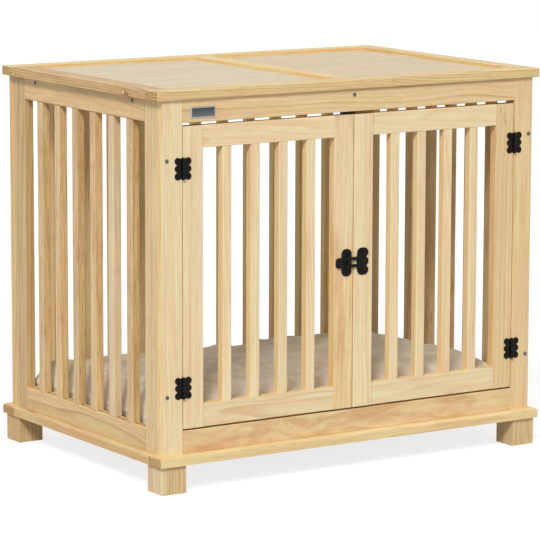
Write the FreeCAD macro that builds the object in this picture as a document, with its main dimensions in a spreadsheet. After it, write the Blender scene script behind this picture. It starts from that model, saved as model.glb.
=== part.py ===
import FreeCAD, Part
# Dog crate end table: a slatted pine cabin with two doors, a framed tabletop and a loose cushion.
# Millimetres. X runs to the right, Y to the back and Z up. The origin is on the floor, under the
# middle of the crate. Every size is a cell of the sheet, and each piece is bound to those cells.
import os
import re

doc = FreeCAD.newDocument("dog_crate_end_table")

# ---------------------------------------------------------------- driving dimensions
SIZES = {
    # cabin: outside of the posts, and the height from the base to the tabletop
    "body_width": 776,
    "body_depth": 532,
    "body_height": 604,
    "board_thick": 17,
    "edge_ease": 1,
    # front and back frames
    "post_width": 39.5,
    "top_rail_height": 39,
    "bottom_rail_height": 40,
    # side panels
    "stile_width": 40,
    "side_rail_height": 40,
    "rail_round": 3,
    # stub tenons, and the grooves that hold the slats
    "tenon_length": 12,
    "tenon_thick": 6,
    "tenon_shoulder": 6,
    "tenon_play": 0.15,
    "groove_width": 5,
    "groove_depth": 7,
    "groove_play": 0.2,
    # slats
    "slat_width": 18,
    "slat_thick": 16,
    "slat_setback": 0.5,
    "slat_ease": 1.5,
    "slat_tongue_shoulder": 3,
    "side_slat_count": 6,
    "back_slat_count": 11,
    "door_slat_count": 4,
    # doors
    "door_side_gap": 1.6,
    "door_middle_gap": 2,
    "door_top_gap": 5.5,
    "door_bottom_gap": 3.2,
    "door_stile_width": 39.5,
    "door_top_rail_height": 38,
    "door_bottom_rail_height": 40,
    # tabletop
    "top_thick": 16.5,
    "top_board": 40,
    "top_middle_board": 40,
    "top_side_overhang": 12,
    "top_front_overhang": 5,
    "top_ease": 1.5,
    "panel_thick": 7,
    "panel_recess": 5,
    "panel_tongue": 7,
    "panel_play": 0.3,
    "cleat_size": 15,
    # base, floor and feet
    "base_thick": 17,
    "base_board": 42,
    "base_side_overhang": 12,
    "base_front_overhang": 14,
    "base_round": 5,
    "floor_thick": 9,
    "floor_play": 1,
    "foot_size": 48,
    "foot_height": 48.5,
    "foot_inset": 5,
    "foot_ease": 1.2,
    # butterfly hinges
    "hinge_height": 37.8,
    "hinge_thick": 1.2,
    "hinge_core": 12.2,
    "hinge_lobe_radius": 6,
    "hinge_lobe_reach": 16.2,
    "hinge_middle_radius": 5.4,
    "hinge_root_radius": 4.3,
    "hinge_notch": 2.1,
    "hinge_axis_out": 3,
    "hinge_barrel_radius": 2.6,
    "hinge_barrel_share": 18,
    "hinge_barrel_drop": 1,
    "hinge_pin_radius": 1.3,
    "hinge_inset": 71,
    "knuckle_gap": 0.4,
    "pin_play": 0.05,
    "pin_head_radius": 1.7,
    "pin_head_thick": 0.8,
    # latch: catch plate on the left door, hasp plate and hasp on the right door
    "latch_plate_height": 47.8,
    "latch_plate_thick": 1.5,
    "latch_plate_corner": 9,
    "latch_screw_spread": 34,
    "catch_plate_width": 20.6,
    "catch_plate_inset": 3.5,
    "catch_stud_radius": 2.6,
    "catch_stud_inset": 11,
    "catch_stud_out": 3.2,
    "catch_stud_root": 8,
    "hasp_plate_width": 23,
    "hasp_plate_notch": 3.6,
    "hasp_notch_spread": 16,
    "hasp_plate_screw_in": 9.5,
    "hasp_axis_inset": 8.2,
    "hasp_axis_out": 2.9,
    "hasp_barrel_radius": 2.4,
    "hasp_pin_radius": 1,
    "hasp_pin_head_radius": 1.3,
    "hasp_barrel_end": 4,
    "hasp_height": 18,
    "hasp_reach": 47.5,
    "hasp_tail_round": 6,
    "hasp_thick": 1.5,
    "hasp_gap": 0.3,
    "hasp_slot_height": 7,
    "hasp_slot_start": 3.2,
    "hasp_slot_end": 35.2,
    "hasp_pad_radius": 13,
    "hasp_pad_start": 16,
    "hasp_pad_thick": 2.7,
    # screws
    "frame_screw_head": 3.3,
    "frame_screw_dome": 2,
    "frame_screw_shank": 1.9,
    "frame_screw_length": 38,
    "frame_screw_inset": 101,
    "rail_screw_drop": 10,
    "rail_screw_length": 21,
    "cleat_screw_spread": 338,
    "cleat_screw_length": 27,
    "trim_screw_head": 2.2,
    "trim_screw_dome": 0.9,
    "trim_screw_shank": 1.1,
    "trim_screw_length": 10,
    "screw_cross_width": 0.7,
    "screw_dome_round": 0.55,
    "screw_play": 0.1,
    # bare plate and door stop on the front top rail
    "plate_width": 49,
    "plate_height": 19.5,
    "plate_thick": 1.4,
    "plate_inset": 16,
    "plate_drop": 3,
    "plate_bevel": 0.9,
    "stop_width": 30,
    "stop_height": 54,
    "stop_thick": 5,
    "stop_top_gap": 2,
    "stop_gap": 0.3,
    # cushion
    "cushion_side_gap": 5,
    "cushion_height": 76,
    "cushion_seam": 30,
    "cushion_corner": 46,
    "cushion_draw_in": 5,
    "cushion_foot_inset": 20,
    "cushion_crown_inset": 70,
    "soft_gap": 0.3,
}

sheet = doc.addObject("Spreadsheet::Sheet", "Sizes")
for row, (alias, value) in enumerate(SIZES.items(), start=1):
    sheet.set("A%d" % row, str(value))
    sheet.setAlias("A%d" % row, alias)
doc.recompute()


def cell(alias):
    """The number that the sheet holds under this alias."""
    return float(sheet.get(alias))


def full(text):
    """An expression with each alias written as a cell of the sheet."""
    return re.sub(r"[a-z_]+", lambda m: "Sizes." + m.group() if m.group() in SIZES else m.group(), text)


def minus(text):
    return "(-(%s))" % text


def plus(*terms):
    return "(" + " + ".join(terms) + ")"


# ---------------------------------------------------------------- places worked out from the cells
ORIGIN = ("0", "0", "0")
FRONT = "(-body_depth / 2)"
BODY_BOTTOM = "(foot_height + base_thick)"
BODY_TOP = "(foot_height + base_thick + body_height)"
HALF_OPENING = "(body_width / 2 - post_width)"
FRAME_OPENING = "(body_width - 2 * post_width)"
SIDE_LENGTH = "(body_depth - 2 * board_thick)"
SIDE_OPENING = "(body_depth - 2 * board_thick - 2 * stile_width)"
DOOR_WIDTH = "(body_width / 2 - post_width - door_side_gap - door_middle_gap / 2)"
DOOR_OPENING = "(body_width / 2 - post_width - door_side_gap - door_middle_gap / 2 - 2 * door_stile_width)"
DOOR_BOTTOM = "(foot_height + base_thick + bottom_rail_height + door_bottom_gap)"
DOOR_HEIGHT = "(body_height - top_rail_height - bottom_rail_height - door_top_gap - door_bottom_gap)"
HINGE_X = "(body_width / 2 - post_width - door_side_gap / 2)"
LATCH_Z = plus(DOOR_BOTTOM, DOOR_HEIGHT + " / 2")
HASP_X = "(door_middle_gap / 2 + hasp_axis_inset)"
CATCH_X = "(-door_middle_gap / 2 - catch_plate_inset - catch_plate_width / 2)"
STUD_X = "(-door_middle_gap / 2 - catch_stud_inset)"
PANEL_BOTTOM = "(top_thick - panel_recess - panel_thick)"

# Faces of the cabin: axis along the panel, axis through it, which way is inward, and the outer face.
FRONT_FACE = (0, 1, 1, "-body_depth / 2")
BACK_FACE = (0, 1, -1, "body_depth / 2")
LEFT_FACE = (1, 0, 1, "-body_width / 2")
RIGHT_FACE = (1, 0, -1, "body_width / 2")

# Turns that point a piece's own Z axis outward on each face.
OUT_FRONT = FreeCAD.Rotation(FreeCAD.Vector(1, 0, 0), 90)
OUT_BACK = FreeCAD.Rotation(FreeCAD.Vector(1, 0, 0), -90)
OUT_LEFT = FreeCAD.Rotation(FreeCAD.Vector(0, 1, 0), -90)
OUT_RIGHT = FreeCAD.Rotation(FreeCAD.Vector(0, 1, 0), 90)
HALF_TURN = FreeCAD.Rotation(FreeCAD.Vector(0, 1, 0), 180)
UPRIGHT = FreeCAD.Rotation()

# Two lengths nearer than this are the same place.
SAME = 0.01

nodes = {}


# ---------------------------------------------------------------- helpers
def bind(thing, **expressions):
    for name, text in expressions.items():
        thing.setExpression(name, full(text))


def place(thing, spot, turn=UPRIGHT):
    thing.Placement = FreeCAD.Placement(FreeCAD.Vector(), turn)
    for axis, text in zip("xyz", spot):
        thing.setExpression("Placement.Base." + axis, full(text))


def new_body(name, spot=ORIGIN, turn=UPRIGHT, keep=True):
    body = doc.addObject("PartDesign::Body", name)
    body.Label = name
    place(body, spot, turn)
    if keep:
        nodes[name] = body
    return body


def block(body, name, size, spot=ORIGIN, cut=False):
    """A box in the body's own frame, added or cut away."""
    kind = "PartDesign::SubtractiveBox" if cut else "PartDesign::AdditiveBox"
    box = body.newObject(kind, body.Name + "_" + name)
    bind(box, Length=size[0], Width=size[1], Height=size[2])
    place(box, spot)
    return box


def rod(body, name, radius, length, spot=ORIGIN, turn=UPRIGHT, cut=False, sweep=360):
    """A cylinder along its own Z, added or cut away."""
    kind = "PartDesign::SubtractiveCylinder" if cut else "PartDesign::AdditiveCylinder"
    cylinder = body.newObject(kind, body.Name + "_" + name)
    bind(cylinder, Radius=radius, Height=length)
    cylinder.Angle = sweep
    place(cylinder, spot, turn)
    return cylinder


def axis_of(body, role):
    return [item for item in body.Origin.OriginFeatures if item.Role == role][0]


def repeat(body, name, role, offset, count, originals):
    """Copies of the originals, or of the whole body where none are given, along an axis."""
    pattern = body.newObject("PartDesign::LinearPattern", body.Name + "_" + name)
    pattern.TransformMode = "Features" if originals else "Whole shape"
    pattern.Originals = originals or [body.Group[1]]
    pattern.Direction = (axis_of(body, role), [""])
    pattern.Mode = "Spacing"
    bind(pattern, Offset=offset, Occurrences=count)
    body.Tip = pattern
    doc.recompute()
    return pattern


def edges_along(shape, axis, wanted=None):
    """Names of the straight edges that run along an axis and pass the test on their middle point."""
    found = []
    for number, edge in enumerate(shape.Edges, start=1):
        if edge.Curve.TypeId != "Part::GeomLine":
            continue
        if abs(edge.tangentAt(edge.FirstParameter)[axis]) < 1 - SAME:
            continue
        middle = edge.valueAt((edge.FirstParameter + edge.LastParameter) / 2)
        if wanted is None or wanted(middle):
            found.append("Edge%d" % number)
    return found


def ring_edges(shape, height):
    """Names of the circular edges at this height of the shape's own Z."""
    found = []
    for number, edge in enumerate(shape.Edges, start=1):
        if edge.Curve.TypeId == "Part::GeomCircle" and abs(edge.Curve.Center.z - height) < SAME:
            found.append("Edge%d" % number)
    return found


def soften(body, feature, edges, radius, name="ease", chamfer=False):
    kind = "PartDesign::Chamfer" if chamfer else "PartDesign::Fillet"
    fillet = body.newObject(kind, body.Name + "_" + name)
    fillet.Base = (feature, edges)
    bind(fillet, **({"Size": radius} if chamfer else {"Radius": radius}))
    doc.recompute()
    return fillet


def group(name, items):
    """One node that holds several separate solids."""
    compound = doc.addObject("Part::Compound", name)
    compound.Label = name
    compound.Links = items
    nodes[name] = compound
    return compound


def copy_of(master, name, spot, turn=UPRIGHT):
    link = doc.addObject("App::Link", name)
    link.LinkedObject = master
    place(link, spot, turn)
    return link


# ---------------------------------------------------------------- boards and panels
def along(face, run, through, up):
    """Three sizes in X, Y, Z order from sizes along, through and up the panel."""
    size = [None, None, up]
    size[face[0]] = run
    size[face[1]] = through
    return tuple(size)


def corner(face, start, setback, thick, up):
    """The low corner, in X, Y, Z, of a board that starts here along the panel."""
    inward = plus(face[3], setback) if face[2] > 0 else plus(face[3], minus(setback), minus(thick))
    return along(face, start, inward, up)


def board(name, face, start, up, length, height, grain, big_round=None):
    """A planed board of a panel, with eased long edges and one edge rounded more if asked."""
    body = new_body(name, corner(face, start, "0", "board_thick", up))
    blank = block(body, "board", along(face, length, "board_thick", height))
    doc.recompute()
    axis = face[0] if grain == "run" else 2
    if big_round is None:
        soften(body, blank, edges_along(blank.Shape, axis), "edge_ease")
        return body
    bounds = blank.Shape.BoundBox
    low, high = ((bounds.XMin, bounds.XMax), (bounds.YMin, bounds.YMax))[face[1]]
    outer = low if face[2] > 0 else high
    level = bounds.ZMax if big_round == "top" else bounds.ZMin

    def is_big(point):
        return abs(point[face[1]] - outer) < SAME and abs(point.z - level) < SAME

    small = edges_along(blank.Shape, axis, lambda point: not is_big(point))
    eased = soften(body, blank, small, "edge_ease")
    soften(body, eased, edges_along(eased.Shape, axis, is_big), "rail_round", "round")
    return body


def tenons(body, face, length, height):
    """A stub tenon at each end of a rail, as one tongue that runs through it."""
    size = along(face, plus(length, "2 * tenon_length"), "tenon_thick", plus(height, "-2 * tenon_shoulder"))
    spot = along(face, "-tenon_length", "(board_thick - tenon_thick) / 2", "tenon_shoulder")
    block(body, "tenons", size, spot)


def mortise(body, name, face, width, inner_side, up, height):
    """The slot in a stile for a rail's tenon, open on the stile's inner edge."""
    depth = "(tenon_length + tenon_play)"
    start = "0" if inner_side == "low" else plus(width, minus(depth))
    tall = plus(height, "-2 * tenon_shoulder", "2 * tenon_play")
    size = along(face, depth, "(tenon_thick + 2 * tenon_play)", tall)
    through = "(board_thick / 2 - tenon_thick / 2 - tenon_play)"
    spot = along(face, start, through, plus(up, "tenon_shoulder", "-tenon_play"))
    block(body, name, size, spot, cut=True)


def slat_gap(opening, count):
    return "((%s - %s * slat_width) / (%s + 1))" % (opening, count, count)


def slats(name, face, start, up, opening, height, count):
    """A row of slats, each with a tongue at both ends, as one node of separate solids."""
    gap = slat_gap(opening, count)
    tongue_width = "(slat_width - 2 * slat_tongue_shoulder)"
    body = new_body(name, corner(face, plus(start, gap), "slat_setback", "slat_thick", up))
    stick = block(body, "slat", along(face, "slat_width", "slat_thick", height))
    doc.recompute()
    soften(body, stick, edges_along(stick.Shape, 2), "slat_ease")
    reach = "(groove_depth - groove_play)"
    from_face = "(board_thick / 2 - slat_setback - groove_width / 2 + groove_play)"
    inward = from_face if face[2] > 0 else "(slat_thick - groove_width + 2 * groove_play - %s)" % from_face
    size = along(face, tongue_width, "(groove_width - 2 * groove_play)", plus(height, "2 * " + reach))
    block(body, "tongue", size, along(face, "(slat_width - %s) / 2" % tongue_width, inward, minus(reach)))
    doc.recompute()
    repeat(body, "row", "X_Axis" if face[0] == 0 else "Y_Axis", plus(gap, "slat_width"), count, None)
    return body


def slat_groove(body, face, length, up):
    """The groove along a rail that takes the slats' tongues."""
    size = along(face, length, "groove_width", "groove_depth")
    block(body, "groove", size, along(face, "0", "(board_thick - groove_width) / 2", up), cut=True)


def slat_mortises(body, face, opening, count, up):
    """A row of pockets along a door rail, one for each slat."""
    gap = slat_gap(opening, count)
    width = "(slat_width - 2 * slat_tongue_shoulder + 2 * groove_play)"
    start = plus(gap, "slat_tongue_shoulder", "-groove_play")
    first = block(body, "mortise", along(face, width, "groove_width", "groove_depth"),
                  along(face, start, "(board_thick - groove_width) / 2", up), cut=True)
    doc.recompute()
    repeat(body, "mortises", "X_Axis", plus(gap, "slat_width"), count, [first])


def drill(body, name, radius, depth, spot, turn):
    """A screw hole that starts at the spot and runs inward, against the screw's outward axis."""
    inward = turn.multiply(FreeCAD.Rotation(FreeCAD.Vector(1, 0, 0), 180))
    return rod(body, name, plus(radius, "screw_play"), depth, spot, inward, cut=True)


# ---------------------------------------------------------------- front and back frames
def end_frame(side, face):
    """Two posts the whole height of the cabin, with a top and a bottom rail between them."""
    left_edge = "-body_width / 2"
    right_edge = "(body_width / 2 - post_width)"
    posts = {}
    for hand, edge, inner in (("left", left_edge, "high"), ("right", right_edge, "low")):
        name = "%s_%s_post" % (side, hand)
        post = board(name, face, edge, BODY_BOTTOM, "post_width", "body_height", "up")
        mortise(post, "bottom_mortise", face, "post_width", inner, "0", "bottom_rail_height")
        mortise(post, "top_mortise", face, "post_width", inner, "(body_height - top_rail_height)",
                "top_rail_height")
        posts[hand] = post
    rails = {}
    round_it = {"top": None, "bottom": None} if side == "front" else {"top": "bottom", "bottom": "top"}
    for end, up, height in (("bottom", BODY_BOTTOM, "bottom_rail_height"),
                            ("top", plus(BODY_TOP, "-top_rail_height"), "top_rail_height")):
        rail = board("%s_%s_rail" % (side, end), face, minus(HALF_OPENING), up, FRAME_OPENING, height,
                     "run", round_it[end])
        tenons(rail, face, FRAME_OPENING, height)
        rails[end] = rail
    return posts, rails


def frame_screw_heights():
    """Heights, from the cabin's bottom, of the two screws in each post."""
    return "frame_screw_inset", "(body_height - frame_screw_inset)"


def post_screw_holes(post, hand, turn):
    """Two holes through a post, in line with the middle of the side stile behind it."""
    across = "board_thick / 2" if hand == "left" else "(post_width - board_thick / 2)"
    face_side = "0" if turn is OUT_FRONT else "board_thick"
    for number, up in enumerate(frame_screw_heights(), start=1):
        drill(post, "screw_hole_%d" % number, "frame_screw_shank", "board_thick",
              (across, face_side, up), turn)


front_posts, front_rails = end_frame("front", FRONT_FACE)
back_posts, back_rails = end_frame("back", BACK_FACE)
for hand in ("left", "right"):
    post_screw_holes(front_posts[hand], hand, OUT_FRONT)
    post_screw_holes(back_posts[hand], hand, OUT_BACK)
slat_groove(back_rails["bottom"], BACK_FACE, FRAME_OPENING, "(bottom_rail_height - groove_depth)")
slat_groove(back_rails["top"], BACK_FACE, FRAME_OPENING, "0")
slats("back_slats", BACK_FACE, minus(HALF_OPENING), plus(BODY_BOTTOM, "bottom_rail_height"),
      FRAME_OPENING, "(body_height - bottom_rail_height - top_rail_height)", "back_slat_count")


# ---------------------------------------------------------------- side panels
def side_panel(side, face):
    """Stiles the whole height, rails between them and a row of slats, held between the end frames."""
    start = "(-body_depth / 2 + board_thick)"
    turn = OUT_LEFT if side == "left" else OUT_RIGHT
    back_start = plus(start, SIDE_LENGTH, "-stile_width")
    for end, edge, inner, screw_turn in (("front", start, "high", OUT_FRONT),
                                         ("back", back_start, "low", OUT_BACK)):
        name = "%s_side_%s_stile" % (side, end)
        stile = board(name, face, edge, BODY_BOTTOM, "stile_width", "body_height", "up")
        mortise(stile, "bottom_mortise", face, "stile_width", inner, "0", "side_rail_height")
        mortise(stile, "top_mortise", face, "stile_width", inner, "(body_height - side_rail_height)",
                "side_rail_height")
        for number, up in enumerate(frame_screw_heights(), start=1):
            open_end = "0" if end == "front" else "stile_width"
            drill(stile, "screw_hole_%d" % number, "frame_screw_shank",
                  "(frame_screw_length - board_thick + screw_play)",
                  ("board_thick / 2", open_end, up), screw_turn)
    rail_start = plus(start, "stile_width")
    for end, up, round_it, groove_up in (
            ("bottom", BODY_BOTTOM, "top", "(side_rail_height - groove_depth)"),
            ("top", plus(BODY_TOP, "-side_rail_height"), "bottom", "0")):
        rail = board("%s_side_%s_rail" % (side, end), face, rail_start, up, SIDE_OPENING,
                     "side_rail_height", "run", round_it)
        tenons(rail, face, SIDE_OPENING, "side_rail_height")
        slat_groove(rail, face, SIDE_OPENING, groove_up)
        if end == "top":
            outer = "0" if side == "left" else "board_thick"
            for number, place_along in enumerate(cleat_screw_places(), start=1):
                spot = (outer, plus(SIDE_OPENING + " / 2", place_along),
                        "(side_rail_height - cleat_size / 2)")
                drill(rail, "screw_hole_%d" % number, "frame_screw_shank", "board_thick", spot, turn)
    slats("%s_side_slats" % side, face, rail_start, plus(BODY_BOTTOM, "side_rail_height"), SIDE_OPENING,
          "(body_height - 2 * side_rail_height)", "side_slat_count")


def cleat_screw_places():
    """Places along Y, from the middle, of the screws that hold a cleat."""
    return "-cleat_screw_spread / 2", "cleat_screw_spread / 2"


side_panel("left", LEFT_FACE)
side_panel("right", RIGHT_FACE)


def cleat(side):
    """The inside batten at the top of a side panel, which carries the tabletop."""
    inner = {"left": "(-body_width / 2 + board_thick)",
             "right": "(body_width / 2 - board_thick - cleat_size)"}[side]
    spot = (inner, minus(SIDE_OPENING + " / 2"), plus(BODY_TOP, "-cleat_size"))
    body = new_body("%s_top_cleat" % side, spot)
    blank = block(body, "batten", ("cleat_size", SIDE_OPENING, "cleat_size"))
    doc.recompute()
    soften(body, blank, edges_along(blank.Shape, 1), "edge_ease")
    wall_side = "0" if side == "left" else "cleat_size"
    turn = OUT_LEFT if side == "left" else OUT_RIGHT
    depth = "(cleat_screw_length - board_thick + screw_play)"
    for number, place_along in enumerate(cleat_screw_places(), start=1):
        drill(body, "screw_hole_%d" % number, "frame_screw_shank", depth,
              (wall_side, plus(SIDE_OPENING + " / 2", place_along), "cleat_size / 2"), turn)


cleat("left")
cleat("right")


# ---------------------------------------------------------------- tabletop
TOP_WIDTH = "(body_width + 2 * top_side_overhang)"
TOP_DEPTH = "(body_depth + 2 * top_front_overhang)"
TOP_PANEL_X = "((body_width + 2 * top_side_overhang - 2 * top_board - top_middle_board) / 2)"
TOP_PANEL_Y = "(body_depth + 2 * top_front_overhang - 2 * top_board)"
PANEL_SLOT = "(panel_tongue + panel_play)"


def side_planes(shape):
    """The axis and the value of the plane that holds each upright side of a board."""
    bounds = shape.BoundBox
    return {"front": (1, bounds.YMin), "back": (1, bounds.YMax),
            "left": (0, bounds.XMin), "right": (0, bounds.XMax)}


def outer_edges(shape, planes):
    """Edges whose middle lies on one of the given upright planes."""
    found = []
    for axis, value in planes:
        found += edges_along(shape, 1 - axis, lambda point: abs(point[axis] - value) < SAME)
        found += edges_along(shape, 2, lambda point: abs(point[axis] - value) < SAME)
    return sorted(set(found))


def top_rail(name, spot, size, outside, slots):
    """A board of the tabletop, eased along its outside edges and grooved for the panels."""
    body = new_body(name, spot)
    blank = block(body, "board", size)
    doc.recompute()
    planes = side_planes(blank.Shape)
    edges = outer_edges(blank.Shape, [planes[side] for side in outside])
    if edges:
        soften(body, blank, edges, "top_ease")
    for number, (slot_size, slot_spot) in enumerate(slots, start=1):
        block(body, "panel_slot_%d" % number, slot_size, slot_spot, cut=True)


def tabletop():
    """Rails front and back over the whole width, three rails between them, and two panels."""
    left, front = minus(TOP_WIDTH + " / 2"), minus(TOP_DEPTH + " / 2")
    slot_up = plus(PANEL_BOTTOM)
    slot_x = plus(TOP_PANEL_X, "2 * " + PANEL_SLOT)
    starts = (plus("top_board", minus(PANEL_SLOT)),
              plus("top_board", TOP_PANEL_X, "top_middle_board", minus(PANEL_SLOT)))
    for side, up_to, slot_y in (("front", front, plus("top_board", minus(PANEL_SLOT))),
                                ("back", plus(TOP_DEPTH + " / 2", "-top_board"), "0")):
        slots = [((slot_x, PANEL_SLOT, "panel_thick"), (start, slot_y, slot_up)) for start in starts]
        top_rail("tabletop_%s_rail" % side, (left, up_to, BODY_TOP), (TOP_WIDTH, "top_board", "top_thick"),
                 (side, "left", "right"), slots)
    cross_front = plus(front, "top_board")
    for side, at_x, width, slot_starts, outside in (
            ("left", left, "top_board", (plus("top_board", minus(PANEL_SLOT)),), ("left",)),
            ("middle", "-top_middle_board / 2", "top_middle_board",
             ("0", plus("top_middle_board", minus(PANEL_SLOT))), ()),
            ("right", plus(TOP_WIDTH + " / 2", "-top_board"), "top_board", ("0",), ("right",))):
        slots = [((PANEL_SLOT, TOP_PANEL_Y, "panel_thick"), (start, "0", slot_up)) for start in slot_starts]
        top_rail("tabletop_%s_rail" % side, (at_x, cross_front, BODY_TOP),
                 (width, TOP_PANEL_Y, "top_thick"), outside, slots)
    for side, at_x in (("left", plus(left, "top_board", "-panel_tongue")),
                       ("right", plus("top_middle_board / 2", "-panel_tongue"))):
        panel = new_body("tabletop_%s_panel" % side,
                         (at_x, plus(cross_front, "-panel_tongue"), plus(BODY_TOP, PANEL_BOTTOM)))
        block(panel, "panel", (plus(TOP_PANEL_X, "2 * panel_tongue"), plus(TOP_PANEL_Y, "2 * panel_tongue"),
                               "panel_thick"))


tabletop()


# ---------------------------------------------------------------- base, floor and feet
BASE_WIDTH = "(body_width + 2 * base_side_overhang)"
BASE_DEPTH = "(body_depth + 2 * base_front_overhang)"


def base_board(name, spot, size, outside):
    """A board of the base, with its outside top edge rounded over."""
    body = new_body(name, spot)
    blank = block(body, "board", size)
    doc.recompute()
    planes = side_planes(blank.Shape)
    top = blank.Shape.BoundBox.ZMax
    edges = []
    for side in outside:
        axis, value = planes[side]
        edges += edges_along(blank.Shape, 1 - axis, lambda point: abs(point[axis] - value) < SAME
                             and abs(point.z - top) < SAME)
    soften(body, blank, edges, "base_round", "round")


def base():
    left, front = minus(BASE_WIDTH + " / 2"), minus(BASE_DEPTH + " / 2")
    for side, at_y in (("front", front), ("back", plus(BASE_DEPTH + " / 2", "-base_board"))):
        base_board("base_%s_board" % side, (left, at_y, "foot_height"),
                   (BASE_WIDTH, "base_board", "base_thick"), (side, "left", "right"))
    for side, at_x in (("left", left), ("right", plus(BASE_WIDTH + " / 2", "-base_board"))):
        base_board("base_%s_board" % side, (at_x, plus(front, "base_board"), "foot_height"),
                   ("base_board", plus(BASE_DEPTH, "-2 * base_board"), "base_thick"), (side,))
    floor = new_body("floor_panel", ("(-body_width / 2 + board_thick + floor_play)",
                                     "(-body_depth / 2 + board_thick + floor_play)", BODY_BOTTOM))
    block(floor, "panel", ("(body_width - 2 * board_thick - 2 * floor_play)",
                           "(body_depth - 2 * board_thick - 2 * floor_play)", "floor_thick"))
    feet = new_body("feet", (plus(left, "foot_inset"), plus(front, "foot_inset"), "0"))
    foot = block(feet, "foot", ("foot_size", "foot_size", "foot_height"))
    doc.recompute()
    soften(feet, foot, edges_along(foot.Shape, 2), "foot_ease")
    repeat(feet, "pair", "X_Axis", plus(BASE_WIDTH, "-2 * foot_inset", "-foot_size"), "2", None)
    repeat(feet, "four", "Y_Axis", plus(BASE_DEPTH, "-2 * foot_inset", "-foot_size"), "2", None)


base()


# ---------------------------------------------------------------- doors
def door(side, start):
    """A door: two stiles the whole height, two rails between them and a row of slats."""
    first, second = {"left": ("hinge", "latch"), "right": ("latch", "hinge")}[side]
    second_start = plus(start, DOOR_WIDTH, "-door_stile_width")
    stiles = {}
    for job, edge, inner in ((first, start, "high"), (second, second_start, "low")):
        stile = board("%s_door_%s_stile" % (side, job), FRONT_FACE, edge, DOOR_BOTTOM, "door_stile_width",
                      DOOR_HEIGHT, "up")
        mortise(stile, "bottom_mortise", FRONT_FACE, "door_stile_width", inner, "0",
                "door_bottom_rail_height")
        mortise(stile, "top_mortise", FRONT_FACE, "door_stile_width", inner,
                plus(DOOR_HEIGHT, "-door_top_rail_height"), "door_top_rail_height")
        stiles[job] = stile
    rail_start = plus(start, "door_stile_width")
    for end, up, height, pocket_up in (
            ("bottom", DOOR_BOTTOM, "door_bottom_rail_height", "(door_bottom_rail_height - groove_depth)"),
            ("top", plus(DOOR_BOTTOM, DOOR_HEIGHT, "-door_top_rail_height"), "door_top_rail_height", "0")):
        name = "%s_door_%s_rail" % (side, end)
        rail = board(name, FRONT_FACE, rail_start, up, DOOR_OPENING, height, "run")
        tenons(rail, FRONT_FACE, DOOR_OPENING, height)
        slat_mortises(rail, FRONT_FACE, DOOR_OPENING, "door_slat_count", pocket_up)
    slats("%s_door_slats" % side, FRONT_FACE, rail_start, plus(DOOR_BOTTOM, "door_bottom_rail_height"),
          DOOR_OPENING, plus(DOOR_HEIGHT, "-door_bottom_rail_height", "-door_top_rail_height"),
          "door_slat_count")
    return stiles


left_stiles = door("left", plus(minus(HALF_OPENING), "door_side_gap"))
right_stiles = door("right", "(door_middle_gap / 2)")


# ---------------------------------------------------------------- screws
def screw(name, kind, length):
    """A pan-head screw that points down from its seat at Z = 0, with a cross in its head."""
    head, dome, shank = kind + "_screw_head", kind + "_screw_dome", kind + "_screw_shank"
    body = new_body(name, keep=False)
    cap = rod(body, "head", head, dome)
    doc.recompute()
    soften(body, cap, ring_edges(cap.Shape, cell(dome)), "screw_dome_round * " + dome, "dome")
    rod(body, "shank", shank, length, ("0", "0", minus(length)))
    floor = "(1 - screw_dome_round) * " + dome
    arms = ((head, "screw_cross_width"), ("screw_cross_width", head))
    for number, (run, across) in enumerate(arms, start=1):
        block(body, "cross_%d" % number, (run, across, dome),
              (minus(run + " / 2"), minus(across + " / 2"), floor), cut=True)
    return body


frame_screw = screw("frame_screw", "frame", "frame_screw_length")
rail_screw = screw("rail_screw", "frame", "rail_screw_length")
cleat_screw = screw("cleat_screw", "frame", "cleat_screw_length")
trim_screw = screw("trim_screw", "trim", "trim_screw_length")


def carcass_screws():
    """Four screws in each end frame, two in each side's top rail and one at the front's middle."""
    copies = []
    for side, face_y, turn in (("front", FRONT, OUT_FRONT), ("back", minus(FRONT), OUT_BACK)):
        for hand, sign in (("left", "-"), ("right", "")):
            across = "%s(body_width / 2 - board_thick / 2)" % sign
            for number, up in enumerate(frame_screw_heights(), start=1):
                name = "frame_screw_%s_%s_%d" % (side, hand, number)
                copies.append(copy_of(frame_screw, name, (across, face_y, plus(BODY_BOTTOM, up)), turn))
    for side, sign, turn in (("left", "-", OUT_LEFT), ("right", "", OUT_RIGHT)):
        for number, place_along in enumerate(cleat_screw_places(), start=1):
            spot = ("%s(body_width / 2)" % sign, place_along, plus(BODY_TOP, "-cleat_size / 2"))
            copies.append(copy_of(cleat_screw, "cleat_screw_%s_%d" % (side, number), spot, turn))
    middle = ("0", FRONT, plus(BODY_TOP, "-rail_screw_drop"))
    copies.append(copy_of(rail_screw, "rail_screw_middle", middle, OUT_FRONT))
    group("frame_screws", copies)


carcass_screws()
drill(front_rails["top"], "screw_hole", "frame_screw_shank", "board_thick",
      (HALF_OPENING, "0", "(top_rail_height - rail_screw_drop)"), OUT_FRONT)


# ---------------------------------------------------------------- hinges
HINGE_SPOTS = (("bottom", plus(DOOR_BOTTOM, "hinge_inset")),
               ("top", plus(DOOR_BOTTOM, DOOR_HEIGHT, "-hinge_inset")))
LOBE_X = "(hinge_lobe_reach - hinge_lobe_radius)"
LOBE_Z = "(hinge_height / 2 - hinge_lobe_radius)"
HINGE_BARREL_LOW = "(hinge_barrel_drop - hinge_height / 2)"


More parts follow.
